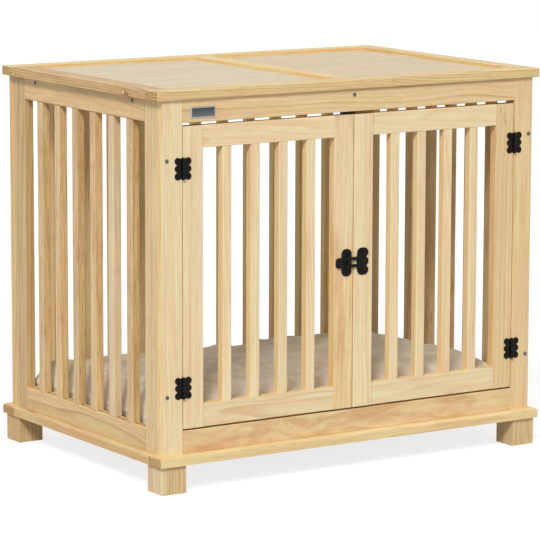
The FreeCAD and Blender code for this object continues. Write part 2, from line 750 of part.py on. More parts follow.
def hinge_leaf(name, middle_knuckle):
    """A leaf that reaches to -X from the pin, lying on the wood at Y = 0.

    Three round lobes make its outer edge, and half a lobe stands at each end beside the pin. The
    middle knuckle belongs to the door's leaf, and the two end knuckles to the frame's leaf.
    """
    body = new_body(name, keep=False)
    thin = "hinge_thick"
    block(body, "core", ("hinge_core", thin, "(hinge_height - hinge_lobe_radius / 2)"),
          ("-hinge_core", minus(thin), "(-hinge_height / 2 + hinge_lobe_radius / 4)"))
    for number, sign in enumerate(("-", ""), start=1):
        rod(body, "lobe_%d" % number, "hinge_lobe_radius", thin,
            (minus(LOBE_X), "0", sign + LOBE_Z), OUT_FRONT)
        rod(body, "root_%d" % number, "hinge_root_radius", thin,
            ("0", "0", sign + "(hinge_height / 2 - hinge_root_radius)"), OUT_FRONT)
    rod(body, "middle_lobe", "hinge_middle_radius", thin,
        ("(-hinge_lobe_reach + hinge_middle_radius)", "0", "0"), OUT_FRONT)
    block(body, "pin_side", ("hinge_lobe_reach", "4 * " + thin, "2 * hinge_height"),
          ("0", "-2 * " + thin, "-hinge_height"), cut=True)
    middle_low, middle_high = "(-hinge_barrel_share / 2)", "(hinge_barrel_share / 2)"
    end_length = minus(plus(HINGE_BARREL_LOW, "hinge_barrel_share / 2", "knuckle_gap"))
    free_end = "(hinge_height / 2 - hinge_barrel_share / 2)"
    centre_y = "-hinge_axis_out"
    if middle_knuckle:
        rod(body, "knuckle", "hinge_barrel_radius", "hinge_barrel_share", ("0", centre_y, middle_low))
        for number, low in enumerate(("(-hinge_height / 2)", plus(middle_high)), start=1):
            block(body, "clear_%d" % number, ("hinge_notch", "2 * " + thin, free_end),
                  ("-hinge_notch", "-1.5 * " + thin, low), cut=True)
    else:
        for number, low in enumerate((HINGE_BARREL_LOW, plus(middle_high, "knuckle_gap")), start=1):
            rod(body, "knuckle_%d" % number, "hinge_barrel_radius", end_length, ("0", centre_y, low))
        block(body, "clear", ("hinge_notch", "2 * " + thin, "(hinge_barrel_share + 2 * knuckle_gap)"),
              ("-hinge_notch", "-1.5 * " + thin, plus(middle_low, "-knuckle_gap")), cut=True)
    rod(body, "bore", "(hinge_pin_radius + pin_play)", "2 * hinge_height",
        ("0", centre_y, "-hinge_height"), cut=True)
    for number, sign in enumerate(("-", ""), start=1):
        rod(body, "screw_hole_%d" % number, "(trim_screw_shank + screw_play)", "3 * " + thin,
            (minus(LOBE_X), thin, sign + LOBE_Z), OUT_FRONT, cut=True)
    return body


frame_leaf = hinge_leaf("frame_leaf", middle_knuckle=False)
door_leaf = hinge_leaf("door_leaf", middle_knuckle=True)


def hinges():
    """Butterfly hinges at the outer edge of each door, with their pins and screws."""
    frame_leaves, door_leaves, pins = [], {"left": [], "right": []}, []
    frame_screws, door_screws = [], {"left": [], "right": []}
    for side, sign, frame_turn, door_turn in (("left", "-", UPRIGHT, HALF_TURN),
                                              ("right", "", HALF_TURN, UPRIGHT)):
        pin_x = sign + HINGE_X
        outward = "-" if side == "left" else ""
        inward = "" if side == "left" else "-"
        for end, up in HINGE_SPOTS:
            tag = "%s_%s" % (side, end)
            frame_leaves.append(copy_of(frame_leaf, "frame_leaf_" + tag, (pin_x, FRONT, up), frame_turn))
            door_leaves[side].append(copy_of(door_leaf, "door_leaf_" + tag, (pin_x, FRONT, up), door_turn))
            pins.append(copy_of(hinge_pin, "hinge_pin_" + tag,
                                (pin_x, plus(FRONT, "-hinge_axis_out"), plus(up, HINGE_BARREL_LOW))))
            for number, lobe in enumerate(("-", ""), start=1):
                lobe_up = plus(up, lobe + LOBE_Z)
                seat = plus(FRONT, "-hinge_thick")
                frame_screws.append(copy_of(trim_screw, "frame_trim_%s_%d" % (tag, number),
                                            (plus(pin_x, outward + LOBE_X), seat, lobe_up), OUT_FRONT))
                door_screws[side].append(copy_of(trim_screw, "door_trim_%s_%d" % (tag, number),
                                                 (plus(pin_x, inward + LOBE_X), seat, lobe_up), OUT_FRONT))
    group("hinge_frame_leaves", frame_leaves)
    group("hinge_pins", pins)
    group("hinge_frame_screws", frame_screws)
    for side in ("left", "right"):
        group("%s_door_hinge_leaves" % side, door_leaves[side])
    return door_screws


def headed_pin(name, radius, head_radius, length):
    """A pin that stands on Z = 0, with a small head at each end."""
    body = new_body(name, keep=False)
    rod(body, "shaft", radius, length)
    rod(body, "foot_head", head_radius, "pin_head_thick", ("0", "0", "-pin_head_thick"))
    rod(body, "top_head", head_radius, "pin_head_thick", ("0", "0", length))
    return body


hinge_pin = headed_pin("hinge_pin", "hinge_pin_radius", "pin_head_radius",
                       "(hinge_height - 2 * hinge_barrel_drop)")
door_screws = hinges()
TRIM_DEPTH = "(trim_screw_length - hinge_thick + screw_play)"


def hinge_screw_holes(body, low_up, across):
    """Pilot holes in a post or stile for the four screws of its two hinge leaves."""
    for end, up in HINGE_SPOTS:
        for number, lobe in enumerate(("-", ""), start=1):
            drill(body, "hinge_pilot_%s_%d" % (end, number), "trim_screw_shank", TRIM_DEPTH,
                  (across, "0", plus(up, lobe + LOBE_Z, minus(low_up))), OUT_FRONT)


LOW_EDGE_HOLE = plus("-door_side_gap / 2", LOBE_X)
hinge_screw_holes(front_posts["left"], BODY_BOTTOM, plus("post_width", minus(LOW_EDGE_HOLE)))
hinge_screw_holes(front_posts["right"], BODY_BOTTOM, LOW_EDGE_HOLE)
hinge_screw_holes(left_stiles["hinge"], DOOR_BOTTOM, LOW_EDGE_HOLE)
hinge_screw_holes(right_stiles["hinge"], DOOR_BOTTOM, plus("door_stile_width", minus(LOW_EDGE_HOLE)))


# ---------------------------------------------------------------- latch
LATCH_SCREWS = ("-latch_screw_spread / 2", "latch_screw_spread / 2")
PLATE_LOW = "(-latch_plate_height / 2)"


def latch_plate(name, at_x, left_edge, width):
    """A flat plate on a door, with rounded corners and a screw hole near each end."""
    body = new_body(name, (at_x, FRONT, LATCH_Z))
    blank = block(body, "plate", (width, "latch_plate_thick", "latch_plate_height"),
                  (left_edge, "-latch_plate_thick", PLATE_LOW))
    doc.recompute()
    soften(body, blank, edges_along(blank.Shape, 1), "latch_plate_corner", "corners")
    return body


def latch_holes(body, across, stile, stile_across):
    """Screw holes in a latch plate, and the pilot holes behind them in the stile."""
    for number, up in enumerate(LATCH_SCREWS, start=1):
        drill(body, "screw_hole_%d" % number, "trim_screw_shank", "latch_plate_thick",
              (across, "-latch_plate_thick", up), OUT_FRONT)
        drill(stile, "latch_pilot_%d" % number, "trim_screw_shank",
              "(trim_screw_length - latch_plate_thick + screw_play)",
              (stile_across, "0", plus(DOOR_HEIGHT + " / 2", up)), OUT_FRONT)


def catch():
    """The left door's plate, with a stud that the hasp's slot drops over."""
    plate = latch_plate("catch_plate", CATCH_X, "(-catch_plate_width / 2)", "catch_plate_width")
    stile_across = plus("door_stile_width", "-catch_plate_inset", "-catch_plate_width / 2")
    latch_holes(plate, "0", left_stiles["latch"], stile_across)
    rod(plate, "stud_hole", "(catch_stud_radius / 2 + screw_play)", "2 * latch_plate_thick",
        (plus(STUD_X, minus(CATCH_X)), "latch_plate_thick / 2", "0"), OUT_FRONT, cut=True)
    stud = new_body("catch_stud", (STUD_X, plus(FRONT, "-latch_plate_thick"), LATCH_Z), OUT_FRONT)
    head = rod(stud, "head", "catch_stud_radius", "(hasp_gap + catch_stud_out)")
    doc.recompute()
    soften(stud, head, ring_edges(head.Shape, cell("hasp_gap") + cell("catch_stud_out")),
           "catch_stud_radius / 3", "dome")
    rod(stud, "root", "catch_stud_radius / 2", "catch_stud_root", ("0", "0", "-catch_stud_root"))
    drill(left_stiles["latch"], "stud_hole", "catch_stud_radius / 2",
          "(catch_stud_root - latch_plate_thick + screw_play)",
          (plus("door_stile_width", "-catch_stud_inset"), "0", DOOR_HEIGHT + " / 2"), OUT_FRONT)


def hasp_plate():
    """The right door's plate: two end knuckles on its left edge, and two notches in its right edge."""
    body = latch_plate("hasp_plate", HASP_X, "(-hasp_barrel_radius / 2)", "hasp_plate_width")
    right_edge = "(hasp_plate_width - hasp_barrel_radius / 2)"
    for number, up in enumerate(("-hasp_notch_spread / 2", "hasp_notch_spread / 2"), start=1):
        rod(body, "notch_%d" % number, "hasp_plate_notch", "3 * latch_plate_thick",
            (right_edge, "latch_plate_thick", up), OUT_FRONT, cut=True)
    clear = "(hasp_barrel_radius + knuckle_gap)"
    block(body, "clear", ("2 * " + clear, "3 * latch_plate_thick", "(hasp_height + 2 * knuckle_gap)"),
          (minus(clear), "-2 * latch_plate_thick", "(-hasp_height / 2 - knuckle_gap)"), cut=True)
    for number, low in enumerate(("(-hasp_height / 2 - knuckle_gap - hasp_barrel_end)",
                                  "(hasp_height / 2 + knuckle_gap)"), start=1):
        rod(body, "knuckle_%d" % number, "hasp_barrel_radius", "hasp_barrel_end",
            ("0", "-hasp_axis_out", low))
    hasp_bore(body)
    latch_holes(body, "hasp_plate_screw_in", right_stiles["latch"],
                "(hasp_axis_inset + hasp_plate_screw_in)")


def hasp_bore(body):
    """The hole for the hasp's pin, through every knuckle of a piece."""
    rod(body, "bore", "(hasp_pin_radius + pin_play)", "2 * hasp_height",
        ("0", "-hasp_axis_out", "-hasp_height"), cut=True)


def hasp():
    """The flap that swings on the right door's plate: slotted, with a half-round pad and a rounded tail."""
    body = new_body("hasp", (HASP_X, FRONT, LATCH_Z))
    back = "(latch_plate_thick + hasp_gap)"
    flap = block(body, "flap", ("hasp_reach", "hasp_thick", "hasp_height"),
                 ("-hasp_reach", plus(minus(back), "-hasp_thick"), "(-hasp_height / 2)"))
    doc.recompute()
    tail = edges_along(flap.Shape, 1, lambda point: point.x < -cell("hasp_reach") / 2)
    soften(body, flap, tail, "hasp_tail_round", "tail")
    rod(body, "barrel", "hasp_barrel_radius", "hasp_height", ("0", "-hasp_axis_out", "(-hasp_height / 2)"))
    left_half = FreeCAD.Rotation(FreeCAD.Vector(0, 1, 0), -90).multiply(OUT_FRONT)
    rod(body, "pad", "hasp_pad_radius", "hasp_pad_thick", ("-hasp_pad_start", minus(back), "0"),
        left_half, sweep=180)
    slot_length = "(hasp_slot_end - hasp_slot_start)"
    block(body, "slot", (slot_length, "4 * hasp_pad_thick", "hasp_slot_height"),
          ("-hasp_slot_end", "-3 * hasp_pad_thick", "(-hasp_slot_height / 2)"), cut=True)
    hasp_bore(body)


catch()
hasp_plate()
hasp()
HASP_PIN_LENGTH = "(hasp_height + 2 * knuckle_gap + 2 * hasp_barrel_end)"
hasp_pin_master = headed_pin("hasp_pin_master", "hasp_pin_radius", "hasp_pin_head_radius", HASP_PIN_LENGTH)
hasp_pin_foot = plus(LATCH_Z, minus(HASP_PIN_LENGTH + " / 2"))
group("hasp_pin", [copy_of(hasp_pin_master, "hasp_pin_copy",
                           (HASP_X, plus(FRONT, "-hasp_axis_out"), hasp_pin_foot))])
for side, across in (("left", CATCH_X), ("right", plus(HASP_X, "hasp_plate_screw_in"))):
    for number, up in enumerate(LATCH_SCREWS, start=1):
        seat = (across, plus(FRONT, "-latch_plate_thick"), plus(LATCH_Z, up))
        door_screws[side].append(copy_of(trim_screw, "latch_trim_%s_%d" % (side, number), seat, OUT_FRONT))
    group("%s_door_screws" % side, door_screws[side])


# ---------------------------------------------------------------- bare plate and door stop
def front_plate():
    """A small bare metal plate, bevelled all round, on the front top rail."""
    low = plus(BODY_TOP, "-top_rail_height / 2", "-plate_drop", "-plate_height / 2")
    left = plus(minus(HALF_OPENING), "plate_inset")
    body = new_body("front_plate", (left, plus(FRONT, "-plate_thick"), low))
    blank = block(body, "plate", ("plate_width", "plate_thick", "plate_height"))
    doc.recompute()
    rim = edges_along(blank.Shape, 0, lambda point: abs(point.y) < SAME)
    rim += edges_along(blank.Shape, 2, lambda point: abs(point.y) < SAME)
    soften(body, blank, rim, "plate_bevel", "bevel", chamfer=True)


def door_stop():
    """A black block behind the front top rail, which both doors close against."""
    inner = "(-body_depth / 2 + board_thick)"
    lip = "(stop_height - top_rail_height + stop_top_gap)"
    low = plus(BODY_TOP, "-stop_top_gap", "-stop_height")
    body = new_body("door_stop", ("-stop_width / 2", inner, low))
    block(body, "pad", ("stop_width", "stop_thick", "stop_height"))
    doc.recompute()
    block(body, "relief", ("stop_width", "stop_gap", lip), ORIGIN, cut=True)
    drill(body, "screw_hole", "frame_screw_shank", "(rail_screw_length - board_thick + screw_play)",
          ("stop_width / 2", "0", plus("stop_height", "stop_top_gap", "-rail_screw_drop")), OUT_FRONT)


front_plate()
door_stop()


# ---------------------------------------------------------------- cushion
def ring(length, width, corner_radius, draw_in, up):
    """A closed outline of the cushion: four sides that draw in at the middle, and round corners."""
    half_x, half_y = length / 2, width / 2
    bite = corner_radius * (1 - 0.5 ** 0.5)
    spots = []
    for sign_x, sign_y, runs_x in ((1, -1, True), (1, 1, False), (-1, 1, True), (-1, -1, False)):
        ends = [(sign_x * (half_x - corner_radius), sign_y * half_y),
                (sign_x * half_x, sign_y * (half_y - corner_radius))]
        if not runs_x:
            ends.reverse()
        spots.append((ends[0], (sign_x * (half_x - bite), sign_y * (half_y - bite)), ends[1]))
    middles = ((half_x - draw_in, 0), (0, half_y - draw_in), (-half_x + draw_in, 0), (0, -half_y + draw_in))
    edges = []
    for index, (start, bend, stop) in enumerate(spots):
        following = spots[(index + 1) % 4][0]
        points = [FreeCAD.Vector(x, y, up) for x, y in (start, bend, stop, middles[index], following)]
        edges.append(Part.Arc(points[0], points[1], points[2]).toShape())
        edges.append(Part.Arc(points[2], points[3], points[4]).toShape())
    return Part.Wire(edges)


def cushion():
    """A knife-edge cushion: flat underneath, fullest at its seam and crowned on top."""
    length = cell("body_width") - 2 * cell("board_thick") - 2 * cell("cushion_side_gap")
    width = cell("body_depth") - 2 * cell("board_thick") - 2 * cell("cushion_side_gap")
    height, seam = cell("cushion_height"), cell("cushion_seam")
    foot, crown = cell("cushion_foot_inset"), cell("cushion_crown_inset")
    radius, draw = cell("cushion_corner"), cell("cushion_draw_in")
    rise = height - seam
    levels = ((0, foot), (seam * 0.35, foot * 0.3), (seam, 0), (seam + rise * 0.5, crown * 0.13),
              (seam + rise * 0.85, crown * 0.45), (height, crown))
    rings = [ring(length - 2 * inset, width - 2 * inset, radius, draw, up) for up, inset in levels]
    pillow = doc.addObject("Part::Feature", "cushion")
    pillow.Label = "cushion"
    pillow.Shape = Part.makeLoft(rings, True, False)
    place(pillow, ("0", "0", plus(BODY_BOTTOM, "floor_thick", "soft_gap")))
    nodes["cushion"] = pillow


cushion()


# ---------------------------------------------------------------- check and write
def faults():
    """Objects that failed to build, and sub-parts with no valid solid."""
    found = [item.Name for item in doc.Objects if "Invalid" in item.State or "Error" in item.State]
    for name, item in nodes.items():
        if item.Shape.isNull() or not item.Shape.isValid() or not item.Shape.Solids:
            found.append(name)
    return found


doc.recompute()
problems = faults()
if problems:
    raise RuntimeError("these did not build: " + ", ".join(problems))
os.makedirs("parts", exist_ok=True)
for name, item in nodes.items():
    item.Shape.exportStep("parts/%s.step" % name)
whole = Part.makeCompound([item.Shape for item in nodes.values() if item is not nodes["cushion"]])
bounds = whole.BoundBox
print("%d nodes, %d solids besides the cushion" % (len(nodes), len(whole.Solids)))
print("size %.1f x %.1f x %.1f mm" % (bounds.XLength, bounds.YLength, bounds.ZLength))
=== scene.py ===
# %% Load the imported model
import bmesh
import bpy
import math
from mathutils import Matrix, Vector, noise


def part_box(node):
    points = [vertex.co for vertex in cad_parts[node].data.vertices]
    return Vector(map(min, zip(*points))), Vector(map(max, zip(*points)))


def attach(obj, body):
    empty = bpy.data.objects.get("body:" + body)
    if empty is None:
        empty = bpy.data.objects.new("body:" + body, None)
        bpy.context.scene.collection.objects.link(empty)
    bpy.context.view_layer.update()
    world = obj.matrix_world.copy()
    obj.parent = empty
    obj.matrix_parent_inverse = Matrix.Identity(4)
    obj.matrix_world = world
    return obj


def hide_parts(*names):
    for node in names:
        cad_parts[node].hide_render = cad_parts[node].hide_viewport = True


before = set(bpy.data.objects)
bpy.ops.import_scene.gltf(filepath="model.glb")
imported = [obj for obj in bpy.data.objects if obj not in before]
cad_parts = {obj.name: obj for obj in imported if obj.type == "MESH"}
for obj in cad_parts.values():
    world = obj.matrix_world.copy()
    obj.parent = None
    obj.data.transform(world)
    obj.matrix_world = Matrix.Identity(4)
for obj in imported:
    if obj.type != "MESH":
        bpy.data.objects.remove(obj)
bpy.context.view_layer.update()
print("pieces of the packed model:", len(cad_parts))

# %% [markdown]
# # A pine dog crate that serves as an end table
# The crate is a slatted cabin of planed pine with two doors, black iron hinges and a black hasp, a
# framed tabletop, and a cushion on its floor. Its joinery is already solid geometry in metres, so this
# lesson gives each board its grain, each fitting its metal, and makes the cushion as sewn cloth.

# %% [markdown]
# ## The camera
# The object was photographed from its front left corner, a little above the tabletop, with a long lens
# from about six metres away. A long lens keeps the uprights parallel. The camera could be aimed at a
# target, but three turns say its pose exactly: first the roll, then the pitch, then the heading.

# %% Place the camera
scene = bpy.context.scene
lens = bpy.data.cameras.new("long_lens")
lens.sensor_width = 36.0
lens.lens = 211.26
lens.clip_end = 60.0
camera = bpy.data.objects.new("camera", lens)
scene.collection.objects.link(camera)
heading = Matrix.Rotation(math.radians(-33.07), 4, "Z")
pitch = Matrix.Rotation(math.radians(90 - 9.19), 4, "X")
roll = Matrix.Rotation(math.radians(0.17), 4, "Z")
camera.matrix_world = Matrix.Translation((-3.096, -4.755, 1.234)) @ heading @ pitch @ roll
scene.camera = camera
print("camera at", tuple(round(v, 3) for v in camera.matrix_world.translation), "lens", lens.lens, "mm")

# %% [markdown]
# ## Colours and nodes
# Colours are written as sRGB hex values, the way a paint or wood sample is read off a screen. Shaders
# work in linear light, so one function converts them. A second small function adds a node, sets its
# values and links its inputs, which keeps each material below readable from top to bottom.

# %% Turn a hex colour into linear light
def linear(hex_colour):
    parts = [int(hex_colour[i:i + 2], 16) / 255 for i in (1, 3, 5)]
    return (*[c / 12.92 if c <= 0.04045 else ((c + 0.055) / 1.055) ** 2.4 for c in parts], 1.0)

print("pale pine in linear light:", [round(c, 3) for c in linear("#ecdfbf")])

# %% Add a node with its settings and links
def add(tree, kind, inputs=(), **settings):
    node = tree.nodes.new("ShaderNode" + kind)
    for name, value in settings.items():
        setattr(node, name, value)
    for key, value in dict(inputs).items():
        if isinstance(value, bpy.types.NodeSocket):
            tree.links.new(value, node.inputs[key])
        else:
            node.inputs[key].default_value = value
    return node

# %% Make an empty material around its shader
def finish_named(name, **surface):
    material = bpy.data.materials.new(name)
    material.use_nodes = True
    shader = material.node_tree.nodes["Principled BSDF"]
    for key, value in surface.items():
        shader.inputs[key.replace("_", " ")].default_value = value
    return material, material.node_tree, shader

# %% Ask whether a ray shows the background to the eye
def seen_directly(tree):
    """1 for rays from the camera, from a mirror or through glass, and 0 for light on its way."""
    path = add(tree, "LightPath")
    seen = add(tree, "Math", {0: path.outputs["Is Camera Ray"], 1: path.outputs["Is Glossy Ray"]},
               operation="MAXIMUM")
    return add(tree, "Math", {0: seen.outputs[0], 1: path.outputs["Is Transmission Ray"]},
               operation="MAXIMUM").outputs[0]

# %% [markdown]
# ## Floor, background and light
# The crate stands in a white studio: a soft key light high on its front left and white fill from
# everywhere. The lamps stay at a level where a colour renders about as it is written. The white
# background comes from what the camera sees of the floor and the world, not from more light on the
# wood, and the floor keeps a faint shadow so that the feet stand on something.

# %% Light the world
scene.view_settings.view_transform = "Standard"
FILL = 0.50
world = bpy.data.worlds.new("white_studio")
scene.world = world
world.use_nodes = True
sky = world.node_tree
sky.nodes.clear()
fill = add(sky, "Background", {"Color": (1, 1, 1, 1), "Strength": FILL})
white = add(sky, "Background", {"Color": (1, 1, 1, 1), "Strength": 1.0})
both = add(sky, "MixShader", {0: seen_directly(sky), 1: fill.outputs[0], 2: white.outputs[0]})
add(sky, "OutputWorld", {"Surface": both.outputs[0]})
print("fill from the world:", FILL)

# %% Hang the key light
key = bpy.data.lights.new("key_light", "SUN")
key.energy = 2.5
key.angle = math.radians(15)
key_lamp = bpy.data.objects.new("key_light", key)
scene.collection.objects.link(key_lamp)
toward = Vector((-0.52, -0.54, 0.66)).normalized()
key_lamp.matrix_world = toward.to_track_quat("Z", "Y").to_matrix().to_4x4()
print("key light comes from", [round(v, 2) for v in toward], "at", key.energy)

# %% Lay the studio floor
FLOOR_RADIUS = 9.0
sheet = bmesh.new()
bmesh.ops.create_circle(sheet, cap_ends=True, segments=96, radius=FLOOR_RADIUS)
floor_mesh = bpy.data.meshes.new("studio_floor")
sheet.to_mesh(floor_mesh)
sheet.free()
floor = bpy.data.objects.new("studio_floor", floor_mesh)
scene.collection.objects.link(floor)
white_vinyl, tree, shader = finish_named("white_studio_vinyl", Base_Color=(0.52, 0.52, 0.52, 1), Roughness=0.9)
pale = add(tree, "BsdfDiffuse", {"Color": (0.28, 0.28, 0.28, 1)})
glow = add(tree, "Emission", {"Color": (1, 1, 1, 1), "Strength": 0.79})
lit = add(tree, "AddShader", {0: pale.outputs[0], 1: glow.outputs[0]})
both = add(tree, "MixShader", {0: seen_directly(tree), 1: shader.outputs[0], 2: lit.outputs[0]})
tree.links.new(both.outputs[0], tree.nodes["Material Output"].inputs["Surface"])
floor_mesh.materials.append(white_vinyl)
print("floor radius:", FLOOR_RADIUS, "m")

# %% [markdown]
# ## How pine gets its figure
# A board is a slice of a trunk. The trunk's rings are cylinders round the pith, each one pale
# earlywood that darkens into a thin band of latewood and stops sharply at the next year. A slice
# beside the pith shows straight stripes, and a slice that faces it shows long arches. Painting
# stripes on each face would leave the end grain wrong, so the rings here fill space: every point of
# a board asks how far it is from the pith line, and all faces agree by themselves. Pine for furniture
# grows fast, so its rings are 4 to 9 mm wide, which is wide enough to show.

# %% Open the group that holds the wood
pine = bpy.data.node_groups.new("sawn_pine", "ShaderNodeTree")
for name, kind in (("Place", "Vector"), ("Seed", "Float"), ("Ring width", "Float"), ("Waver", "Float"),
                   ("Depth", "Float"), ("Early", "Color"), ("Late", "Color"), ("Shade", "Float"),
                   ("End", "Float"), ("Edge", "Float"), ("Fleck", "Float"), ("Blotch", "Float")):
    pine.interface.new_socket(name, in_out="INPUT", socket_type="NodeSocket" + kind)
for name, kind in (("Colour", "Color"), ("Roughness", "Float"), ("Height", "Float")):
    pine.interface.new_socket(name, in_out="OUTPUT", socket_type="NodeSocket" + kind)
given = pine.nodes.new("NodeGroupInput").outputs
print("inputs of the wood:", [s.name for s in given if s.name])

# %% [markdown]
# A trunk isn't a perfect cylinder. Its rings waver slowly over a few hundred millimetres of height,
# and a board's arches come from that. So the place of each point is shifted a little before its
# distance is measured, by a noise that is stretched eight times along the grain.

# %% Turn a size in millimetres into a pattern's scale
def per_metre(across, along):
    """How many cells of a pattern fit into a metre, across the grain twice and along it."""
    return 1000 / across, 1000 / across, 1000 / along

print("cells per metre of the slow waver:", [round(v, 1) for v in per_metre(55, 420)])

# %% Let the rings waver
slow = add(pine, "VectorMath", {0: given["Place"], 1: per_metre(55, 420)}, operation="MULTIPLY")
drift = add(pine, "TexNoise", {"Vector": slow.outputs[0], "W": given["Seed"], "Scale": 1.0, "Detail": 1.0,
                               "Roughness": 0.4}, noise_dimensions="4D")
drift = add(pine, "VectorMath", {0: drift.outputs["Color"], 1: (0.5, 0.5, 0.5)}, operation="SUBTRACT")
drift = add(pine, "VectorMath", {0: drift.outputs[0], "Scale": given["Waver"]}, operation="SCALE")
shaken = add(pine, "VectorMath", {0: given["Place"], 1: drift.outputs[0]}, operation="ADD")
near = add(pine, "VectorMath", {0: given["Place"], 1: per_metre(14, 160)}, operation="MULTIPLY")
ripple = add(pine, "TexNoise", {"Vector": near.outputs[0], "W": given["Seed"], "Scale": 1.0, "Detail": 2.0,
                                "Roughness": 0.5}, noise_dimensions="4D")
print("waver over 55 x 420 mm, ripple over 14 x 160 mm")

# %% Count the years from the pith
flat = add(pine, "VectorMath", {0: shaken.outputs[0], 1: (1, 1, 0)}, operation="MULTIPLY")
radius = add(pine, "VectorMath", {0: flat.outputs[0]}, operation="LENGTH")
years = add(pine, "Math", {0: radius.outputs["Value"], 1: given["Ring width"]}, operation="DIVIDE")
years = add(pine, "Math", {0: ripple.outputs[0], 1: 0.55, 2: years.outputs[0]}, operation="MULTIPLY_ADD")
season = add(pine, "Math", {0: years.outputs[0]}, operation="FRACT")
year = add(pine, "Math", {0: years.outputs[0]}, operation="FLOOR")
print("one ring is one year of growth")

# %% [markdown]
# Latewood starts softly in summer and ends with the winter, so its band has a soft side, a dark line
# and a sharp side. Good years and poor years differ, so each ring has its own strength, and no ring is
# as strong along its whole length.

# %% Darken the latewood
summer = add(pine, "MapRange", {"Value": season.outputs[0], "From Min": 0.1, "From Max": 0.85, "To Max": 0.42},
             interpolation_type="SMOOTHSTEP")
autumn = add(pine, "MapRange", {"Value": season.outputs[0], "From Min": 0.6, "From Max": 0.86, "To Max": 0.58},
             interpolation_type="SMOOTHSTEP")
winter = add(pine, "MapRange", {"Value": season.outputs[0], "From Min": 0.9, "From Max": 1.0, "To Min": 1.0,
                                "To Max": 0.0}, interpolation_type="SMOOTHSTEP")
ring = add(pine, "Math", {0: summer.outputs[0], 1: autumn.outputs[0]}, operation="ADD")
ring = add(pine, "Math", {0: ring.outputs[0], 1: winter.outputs[0]}, operation="MULTIPLY")
luck = add(pine, "Math", {0: year.outputs[0], 1: given["Seed"]}, operation="ADD")
luck = add(pine, "TexWhiteNoise", {"W": luck.outputs[0]}, noise_dimensions="1D")
luck = add(pine, "MapRange", {"Value": luck.outputs["Value"], "To Min": 0.25, "To Max": 1.0})
fading = add(pine, "MapRange", {"Value": ripple.outputs[0], "From Min": 0.36, "From Max": 0.62, "To Min": 1.0,
                                "To Max": 0.5})
band = add(pine, "Math", {0: ring.outputs[0], 1: luck.outputs[0]}, operation="MULTIPLY")
band = add(pine, "Math", {0: band.outputs[0], 1: fading.outputs[0]}, operation="MULTIPLY")
deep = add(pine, "Math", {0: band.outputs[0], 1: given["Depth"]}, operation="MULTIPLY", use_clamp=True)
wood = add(pine, "Mix", {0: deep.outputs[0], 6: given["Early"], 7: given["Late"]}, data_type="RGBA")
print("latewood: soft on its summer side, sharp on its winter side")

# %% [markdown]
# Some boards hold patches of heartwood or resin, a few centimetres wide and much longer than that.
# A sawn end opens the fibres like a bundle of straws. They drink in light, so an end is darker and
# browner than the faces beside it, and its rings stand out more. A narrow edge is cut across more
# rings than a wide face, which makes it a little yellower; the rest of its yellow is painted light,
# the warm light that bounces between the boards onto their shaded side faces.

# %% Add the patches, the end grain, and the edges with their painted bounce light
patch = add(pine, "VectorMath", {0: shaken.outputs[0], 1: per_metre(20, 110)}, operation="MULTIPLY")
patch = add(pine, "TexNoise", {"Vector": patch.outputs[0], "W": given["Seed"], "Scale": 1.0, "Detail": 3.0,
                               "Roughness": 0.6}, noise_dimensions="4D")
patch = add(pine, "MapRange", {"Value": patch.outputs[0], "From Min": 0.42, "From Max": 0.66},
            interpolation_type="SMOOTHSTEP")
patch = add(pine, "Math", {0: patch.outputs[0], 1: given["Blotch"]}, operation="MULTIPLY")
wood = add(pine, "Mix", {0: patch.outputs[0], 6: wood.outputs[2], 7: given["Late"]}, data_type="RGBA")
straw = add(pine, "Math", {0: ring.outputs[0], 1: given["End"]}, operation="MULTIPLY")
# the edge tint is partly the edge grain's own yellow and partly painted warm bounce light on the side faces
for amount, tint in ((given["End"], "#f1e0c8"), (straw.outputs[0], "#71502f"), (given["Edge"], "#fff3d0")):
    wood = add(pine, "Mix", {0: amount, 6: wood.outputs[2], 7: linear(tint)}, data_type="RGBA",
               blend_type="MULTIPLY")
print("end grain: browner, with stronger rings")

# %% [markdown]
# Real fibres are about 0.04 mm wide, far too fine to show here, so they are drawn 4 mm wide and
# 70 mm long with finer ones between, which reads as the faint streaks of planed pine. Resin canals
# are drawn as dashes 1.8 mm wide and 30 mm long. A slower stain of pink and yellow runs through the
# sapwood.

# %% Add the fibres and the stain of the sapwood
thin = add(pine, "VectorMath", {0: given["Place"], 1: per_metre(4, 70)}, operation="MULTIPLY")
fibre = add(pine, "TexNoise", {"Vector": thin.outputs[0], "W": given["Seed"], "Scale": 1.0, "Detail": 3.0,
                               "Roughness": 0.65}, noise_dimensions="4D")
canal = add(pine, "VectorMath", {0: given["Place"], 1: per_metre(1.8, 30)}, operation="MULTIPLY")
canal = add(pine, "TexNoise", {"Vector": canal.outputs[0], "W": given["Seed"], "Scale": 1.0, "Detail": 1.0},
            noise_dimensions="4D")
canal = add(pine, "MapRange", {"Value": canal.outputs[0], "From Min": 0.55, "From Max": 0.75})
wide = add(pine, "VectorMath", {0: given["Place"], 1: per_metre(13, 260)}, operation="MULTIPLY")
stain = add(pine, "TexNoise", {"Vector": wide.outputs[0], "W": given["Seed"], "Scale": 1.0, "Detail": 2.0,
                               "Roughness": 0.5}, noise_dimensions="4D")
pinker = add(pine, "MapRange", {"Value": stain.outputs[0], "From Min": 0.36, "From Max": 0.64})
tinted = add(pine, "Mix", {0: pinker.outputs[0], 6: linear("#fffdec"), 7: linear("#fdecdd")}, data_type="RGBA")
wood = add(pine, "Mix", {0: 1.0, 6: wood.outputs[2], 7: tinted.outputs[2]}, data_type="RGBA", blend_type="MULTIPLY")
uneven = add(pine, "Math", {0: fibre.outputs[0], 1: 0.5}, operation="SUBTRACT")
canal = add(pine, "Math", {0: canal.outputs[0], 1: given["Fleck"]}, operation="MULTIPLY")
wood = add(pine, "Mix", {0: canal.outputs[0], 6: wood.outputs[2], 7: linear("#b08052")}, data_type="RGBA",
           blend_type="MULTIPLY")
